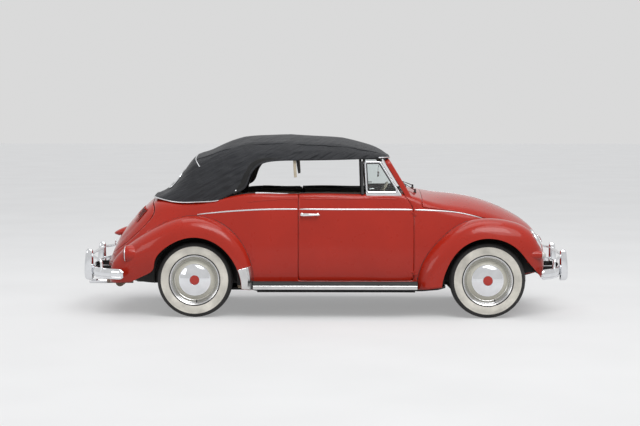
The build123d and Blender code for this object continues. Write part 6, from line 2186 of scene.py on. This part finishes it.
def make_wipers():
    arms, blades = Build(), Build()
    for y in (-345, 120):
        x = 748
        foot = np.array([x, y, hull_top(x, y)])
        arms.lathe([(-2, 13), (3, 13), (7, 9), (20, 8), (28, 6.5), (30, 0.4)], foot, (0.1, 0, 1), 28)
        tip = SCREEN([(y + 300, 66.0)], 12)[0]
        line = smooth_line([foot + (0, 0, 21), foot + (-16, 60, 27), (foot + tip) / 2 + (-6, 0, 13), tip], 30)
        arms.sweep(line, rounded_box(9, 5, 1.8, 3), up=(0.8, 0, 0.5), scale=np.linspace(1.1, 0.55, 30))
        blade = []
        for s in np.linspace(150, 440, 30):
            blade += [*SCREEN([(y + s, 60.0 + 10 * (s - 300) / 300)], 8 + 2.5 * math.cos((s - 280) / 60))]
        blades.sweep(blade, rounded_box(11, 7, 2, 3), up=(0.85, 0, 0.5))
    arms.piece("wiper_arms", BLACK_PAINT, sharp=50)
    blades.piece("wiper_blades", RUBBER, sharp=50)


def make_exhaust_tips():
    tips, tip = Build(), [(0, 17.4), (2, 18.6), (146, 18.6), (149, 17.6), (149, 15.2), (120, 14.8)]
    for side in (-1, 1):
        tips.lathe(tip, (-1860, side * 230, 248), (-1, 0, 0), 40)
    tips.piece("exhaust_tips", CHROME)


make_side_trim()
make_handles()
make_lid_details()
make_hood_details()
make_wipers()
make_exhaust_tips()


# ---------------------------------------------------------------- panels behind the openings
def arch_height(x, axle_x, radius):
    return AXLE_Z + math.sqrt(max(0.0, radius**2 - (x - axle_x) ** 2))


def make_wheelhouses():
    """The arched inner panels over each wheel, from the hull's side in to the wall behind the wheel."""
    for word, axle_x, wall_y in (("front", FRONT_AXLE_X, 396.0), ("rear", REAR_AXLE_X, 521.0)):
        house = Build()
        arch = [(axle_x + 346 * math.cos(t), AXLE_Z + 346 * math.sin(t)) for t in np.linspace(0, math.pi, 60)]
        line = [(axle_x + 346, 268), (axle_x + 346, 290)] + arch + [(axle_x - 346, 290), (axle_x - 346, 268)]
        rows = []
        for x, z in line:
            edge = max(wall_y + 1, hull_width(x, z) - 1)
            rows.append([(x, -(wall_y + (edge - wall_y) * s), z) for s in (0, 0.33, 0.67, 1)])
        house.add(grid_form(rows))
        wall = []
        for x in np.linspace(axle_x - 346, axle_x + 346, 50):
            y, top = -min(wall_y, hull_width(x, 420) + 30), arch_height(x, axle_x, 346)
            wall.append([(x, y, z) for z in np.linspace(268, top, 10)])
        house.add(grid_form(wall)).mirrored()
        two_sided(f"{word}_wheelhouses", house.form(), 1.5, UNDERSEAL)


def ledge(name, field, folds, keep):
    """Panels folded in from an opening's edge; each fold moves the edge's points further."""
    verts, faces = panel(field)
    build = Build()
    for i, j in border(faces):
        if keep(verts[i]) and keep(verts[j]):
            rows = [(verts[i], verts[j])] + [(fold(verts[i]), fold(verts[j])) for fold in folds]
            for (a, b), (c, d) in zip(rows, rows[1:]):
                build.add(([a, b, d, c], [(0, 1, 2, 3)]))
    two_sided(name, build.form(), 1.5, slot="body_paint")


# columns: distance up the axis, radius
SPARE_TYRE = (
    (-50, 212), (-56, 250), (-44, 292), (-20, 305), (20, 305), (44, 292), (56, 250), (50, 212), (20, 200), (-20, 200),
)
SPARE_RIM = (
    (-48, 206), (-40, 196), (-14, 168), (10, 166), (18, 130), (30, 118), (34, 60), (30, 30), (30, 20),
)


def make_openings():
    """The folded-in edges of both openings and what shows inside them."""
    def lip_in(p):
        return p + (0, -math.copysign(5, p[1]), -7)

    def ledge_in(p):
        return p + (0, -math.copysign(26, p[1]), -9)

    def wall_down(p):
        floor_z = 478.0
        if abs(p[0] - FRONT_AXLE_X) < 348 and abs(p[1]) > 400:
            floor_z = max(floor_z, arch_height(p[0], FRONT_AXLE_X, 350) + 1)
        return np.array([p[0], p[1] - math.copysign(26, p[1]), min(p[2] - 9, floor_z)])

    ledge(
        "luggage_bay_sides", HOOD_FIELD[GAP], (lip_in, ledge_in, wall_down),
        lambda p: p[0] > 800 and abs(p[1]) > 40,
    )

    def cowl_in(p, ahead, down):
        share = ramp_between(abs(p[1]), 380, 520)
        return p + (ahead, -math.copysign(down * 1.3 * share, p[1]), -down)

    ledge(
        "cowl_ledge", HOOD_FIELD[GAP],
        (lambda p: cowl_in(p, 3, 9), lambda p: cowl_in(p, 18, 17), lambda p: cowl_in(p, 40, 27)),
        lambda p: p[0] < 812,
    )

    def lid_way(p):
        share = ramp_between(p[2], 680, 920)
        flank = ramp_between(abs(p[1]), 300, 460)
        way = np.array([1 - 0.5 * share, -math.copysign(1.4 * flank, p[1]), -0.9 * share])
        return way / np.linalg.norm(way)

    def centre_in(p, by):
        away = np.array([0, -p[1], 715 - p[2]])
        return away / np.linalg.norm(away) * by

    ledge(
        "engine_bay_lip", LID_FIELD[GAP],
        (
            lambda p: p + lid_way(p) * 13,
            lambda p: p + lid_way(p) * 15 + centre_in(p, 18),
            lambda p: p + lid_way(p) * 36 + centre_in(p, 19),
        ),
        lambda p: p[0] < -1341,
    )
    trays = Build()
    rows = []
    for x in np.linspace(-1760, -1336, 26):
        wide = min(530.0, max(40.0, hull_width(x, 470) - 8))
        row = []
        for y in np.linspace(-wide, wide, 34):
            row.append((x, y, 470 + 3 * math.cos(y / 60) + (8 if abs(y) > wide - 30 else 0)))
        rows.append(row)
    trays.add(grid_form(rows))
    rows = []
    for z in np.linspace(300, 930, 26):
        wide = min(hull_width(-1330, min(z, 900)) - 12, 530)
        while wide > 40 and hull_top(-1330, wide) < z + 8:
            wide -= 8
        rows.append([(-1330 + 4 * math.cos(y / 40), y, z) for y in np.linspace(-wide, wide, 40)])
    trays.add(grid_form(rows))
    two_sided("engine_bay_trays", trays.form(), 1.5, BLACK_PAINT)

    xs, ys = np.linspace(-1306, -872, 24), np.linspace(-560, 560, 50)
    shelf, faces = grid_form([[(x, y, 926.0 + 3 * math.sin(x / 37) * math.sin(y / 53)) for y in ys] for x in xs])
    shelf = clip(shelf, faces, loop_field(shelf[:, 0], shelf[:, 1], COCKPIT_LOOP, 18.0))
    two_sided("luggage_shelf", shelf, 5.0, CARPET, BLACK_PAINT)

    # the spare wheel lies in the front bay behind the nose, and the tank stands before the firewall
    spare_place, spare_axis = (1500, 0, 566), (0.34, 0, 0.94)
    piece("spare_tyre", lathe(SPARE_TYRE, spare_place, spare_axis, 96), TYRE_BLACK)
    piece("spare_rim", lathe(SPARE_RIM, spare_place, spare_axis, 72), WHEEL_PAINT)
    outline = rounded_loop([(-430, 482), (430, 482), (408, 700), (-408, 700)], 60, 64)
    tank = Build().add(extruded(outline, 862, 1120, 6))
    neck = [(-4, 40), (2, 40), (4, 36), (34, 36), (36, 44), (52, 44), (56, 38), (57, 0.4)]
    tank.lathe(neck, (1010, -210, 700), (0, 0, 1), 40)
    tank.piece("fuel_tank", BLACK_PAINT, sharp=50)


def make_engine():
    """The air-cooled engine: fan housing, generator, belt, carburettor with its air cleaner, and tinware."""
    black, castings, pale = Build(), Build(), Build()
    corners = [(-208, 505), (208, 505), (208, 640), (168, 736), (-168, 736), (-208, 640)]
    outline = rounded_loop(corners, (14, 14, 60, 60, 60, 60), 96)
    rows = []
    for x, inset in ((-1552, 12), (-1545, 2), (-1500, 0), (-1440, 0), (-1412, 4), (-1406, 16)):
        rows.append([(x, y, z) for y, z in shrunk(outline, inset)])
    black.add(grid_form(rows, wrap=True, capped=True))
    for low, high in (
        ((-1636, -328, 470), (-1342, -214, 506)),
        ((-1636, 214, 470), (-1342, 328, 506)),
        ((-1638, -214, 462), (-1556, 214, 474)),
    ):
        black.box(low, high, 9)
    castings.box((-1636, -200, 236), (-1344, 200, 462), 26)
    for side in (-1, 1):
        near, far = sorted((side * 204, side * 322))
        for low in range(262, 460, 22):
            castings.box((-1608, near, low), (-1372, far, low + 8), 2)
        black.box((-1600, side * 326 - 4, 262), (-1380, side * 326 + 4, 470), 3)
    generator = [(-96, 0.4), (-96, 38), (-88, 45), (-10, 45), (0, 40), (14, 24), (16, 0.4)]
    castings.lathe(generator, (-1560, 0, 560), (-1, 0, 0), 48)
    pulley = [(16, 20), (18, 52), (22, 54), (26, 40), (30, 54), (34, 52), (36, 20), (36, 0.4)]
    black.lathe(pulley, (-1560, 0, 560), (-1, 0, 0), 56)
    pulley = [(0, 20), (2, 86), (6, 88), (12, 72), (18, 88), (22, 86), (24, 20), (24, 0.4)]
    black.lathe(pulley, (-1582, 0, 372), (-1, 0, 0), 64)
    belt = []
    for x, z, r, count in ((-1588, 560, 50, 30), (-1591, 372, -80, 40)):
        belt += [(x, r * math.cos(t), z + r * math.sin(t)) for t in np.linspace(-0.15, math.pi + 0.15, count)]
    black.sweep(resample(belt + belt[:1], 161)[:-1], rounded_box(12, 8, 2, 3), up=(1, 0, 0), closed=True)
    castings.lathe([(0, 34), (34, 30), (52, 26), (60, 36), (66, 36)], (-1490, -78, 716), (0, 0, 1), 32)
    cleaner = [(0, 0.4), (0, 74), (8, 82), (44, 82), (54, 70), (58, 20), (60, 0.4)]
    black.lathe(cleaner, (-1485, -78, 770), (0, 0, 1), 56)
    coil = [(0, 0.4), (0, 26), (8, 27), (100, 27), (108, 22), (112, 10), (112, 0.4)]
    castings.lathe(coil, (-1556, 120, 640), (0, 0.25, 0.9), 32)
    pale.lathe([(0, 36), (4, 38), (40, 36), (62, 24), (66, 0.4)], (-1598, 120, 470), (-0.2, 0, 0.97), 40)
    for side in (-1, 1):
        hose = np.array([(-1500, 205, 590), (-1500, 270, 560), (-1500, 320, 510), (-1470, 340, 420)])
        rib = 1 + 0.07 * np.cos(np.arange(60) * 2.1)
        black.sweep(smooth_line(hose * (1, side, 1), 60), circle(28, 20), up=(1, 0, 0), scale=rib)
    for k, y in enumerate((-150, -100, 100, 150)):
        lead = [(-1592, 118 + 5 * k, 536), (-1600, 60 + y * 0.5, 520), (-1575, y * 1.3, 500), (-1560, y * 1.9, 470)]
        black.sweep(smooth_line(lead, 36), circle(3.6, 8), up=(1, 0, 0))
    black.piece("engine_tinware", BLACK_PAINT, sharp=50, stands_for="engine_block")
    castings.piece("engine_castings", ALLOY, sharp=45, stands_for="engine_block")
    pale.piece("engine_distributor", BROWN_PLASTIC)


make_wheelhouses()
make_openings()
make_engine()


# ---------------------------------------------------------------- finishes of the frame's own nodes
NODE_FINISH = {
    "dashboard": PAINT, "exhaust": RUSTY, "firewall_and_luggage_floor": SHADED_INNER_PAINT, "floor_pan": BLACK_PAINT,
    "front_axle": BLACK_PAINT, "knuckle_left": STEEL, "knuckle_right": STEEL, "rear_bulkhead": LINING,
    "seat_frames": BLACK_PAINT, "steering_column": BLACK_PAINT, "top_frame": BLACK_PAINT, "transaxle": ALLOY,
}
for node, material in NODE_FINISH.items():
    for material_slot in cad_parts[node].material_slots:
        material_slot.material = material


# ---------------------------------------------------------------- camera, floor and light
CAMERA_PLACE = Vector((0.154, -12.70, 1.709))
CAMERA_YAW, CAMERA_PITCH = math.radians(0.93), math.radians(4.03)
CAMERA_LENS = 83.0
FLOOR_REACH = 60.0
# columns: name, place, aim, width, height, watts
LAMPS = (
    ("key", (2.5, -7.0, 8.5), (0, 0, 0.6), 7.0, 4.0, 300),
    ("fill", (-8.0, -6.0, 3.5), (0, 0, 0.8), 5.0, 3.0, 90),
    ("top", (0.0, 1.5, 9.0), (0, 0, 0.8), 8.0, 5.0, 160),
)


def seen_ray(tree):
    """1 for rays seen directly, in gloss or through glass, and 0 for rays that only carry light."""
    path = tree.nodes.new("ShaderNodeLightPath")
    total = path.outputs["Is Camera Ray"]
    for name in ("Is Glossy Ray", "Is Transmission Ray"):
        node = tree.nodes.new("ShaderNodeMath")
        node.operation, node.use_clamp = "ADD", True
        tree.links.new(total, node.inputs[0])
        tree.links.new(path.outputs[name], node.inputs[1])
        total = node.outputs[0]
    return total


def put(name, data, aim, place=(0, 0, 0)):
    """A camera or lamp at a place, looking along aim."""
    made = bpy.data.objects.new(name, data)
    bpy.context.scene.collection.objects.link(made)
    made.location = place
    made.rotation_mode = "QUATERNION"
    made.rotation_quaternion = aim.to_track_quat("-Z", "Y")
    return made


def make_stage():
    flat_way = math.cos(CAMERA_PITCH)
    aim = Vector((-math.sin(CAMERA_YAW) * flat_way, math.cos(CAMERA_YAW) * flat_way, -math.sin(CAMERA_PITCH)))
    camera = put("camera", bpy.data.cameras.new("camera"), aim, CAMERA_PLACE)
    camera.data.lens = CAMERA_LENS
    camera.data.sensor_width = 36.0
    camera.data.clip_end = 200.0
    bpy.context.scene.camera = camera

    floor_mesh = bpy.data.meshes.new("floor")
    corners = [(x * FLOOR_REACH, y * FLOOR_REACH, 0) for x, y in ((-1, -1), (1, -1), (1, 1), (-1, 1))]
    floor_mesh.from_pydata(corners, [], [(0, 1, 2, 3)])
    floor = bpy.data.objects.new("floor", floor_mesh)
    bpy.context.scene.collection.objects.link(floor)
    n = Nodes("studio_floor")
    stops = [(0.3, (0.50, 0.50, 0.50)), (0.7, (0.53, 0.53, 0.53))]
    n.set(color=n.ramp(n.noise(0.8, 2.0), stops), roughness=0.95, specular=0.1)
    glow = n.add("ShaderNodeEmission")
    glow.inputs["Color"].default_value = (1, 1, 1, 1)
    n.join(n.spread(seen_ray(n.tree), 0.0, 0.30), glow.inputs["Strength"])
    both = n.add("ShaderNodeAddShader")
    n.join(n.shader.outputs[0], both.inputs[0])
    n.join(glow.outputs[0], both.inputs[1])
    n.join(both.outputs[0], n.tree.nodes["Material Output"].inputs["Surface"])
    floor_mesh.materials.append(n.material)

    world = bpy.data.worlds.new("studio")
    bpy.context.scene.world = world
    world.use_nodes = True
    tree = world.node_tree
    back = tree.nodes["Background"]
    back.inputs["Color"].default_value = (0.80, 0.82, 0.85, 1)
    back.inputs["Strength"].default_value = 0.50
    white = tree.nodes.new("ShaderNodeBackground")
    white.inputs["Color"].default_value = (0.70, 0.70, 0.70, 1)
    white.inputs["Strength"].default_value = 1.0
    mix = tree.nodes.new("ShaderNodeMixShader")
    tree.links.new(seen_ray(tree), mix.inputs["Fac"])
    tree.links.new(back.outputs[0], mix.inputs[1])
    tree.links.new(white.outputs[0], mix.inputs[2])
    tree.links.new(mix.outputs[0], tree.nodes["World Output"].inputs["Surface"])

    sun = put("sun", bpy.data.lights.new("sun", "SUN"), Vector((-0.35, 0.62, -1.0)))
    sun.data.energy, sun.data.angle = 1.15, math.radians(50)
    for name, place, target, width, height, watts in LAMPS:
        data = bpy.data.lights.new(name, "AREA")
        data.shape, data.size, data.size_y, data.energy = "RECTANGLE", width, height, watts
        put(name, data, Vector(target) - Vector(place), place)
    bpy.context.scene.view_settings.view_transform = "Standard"


make_stage()
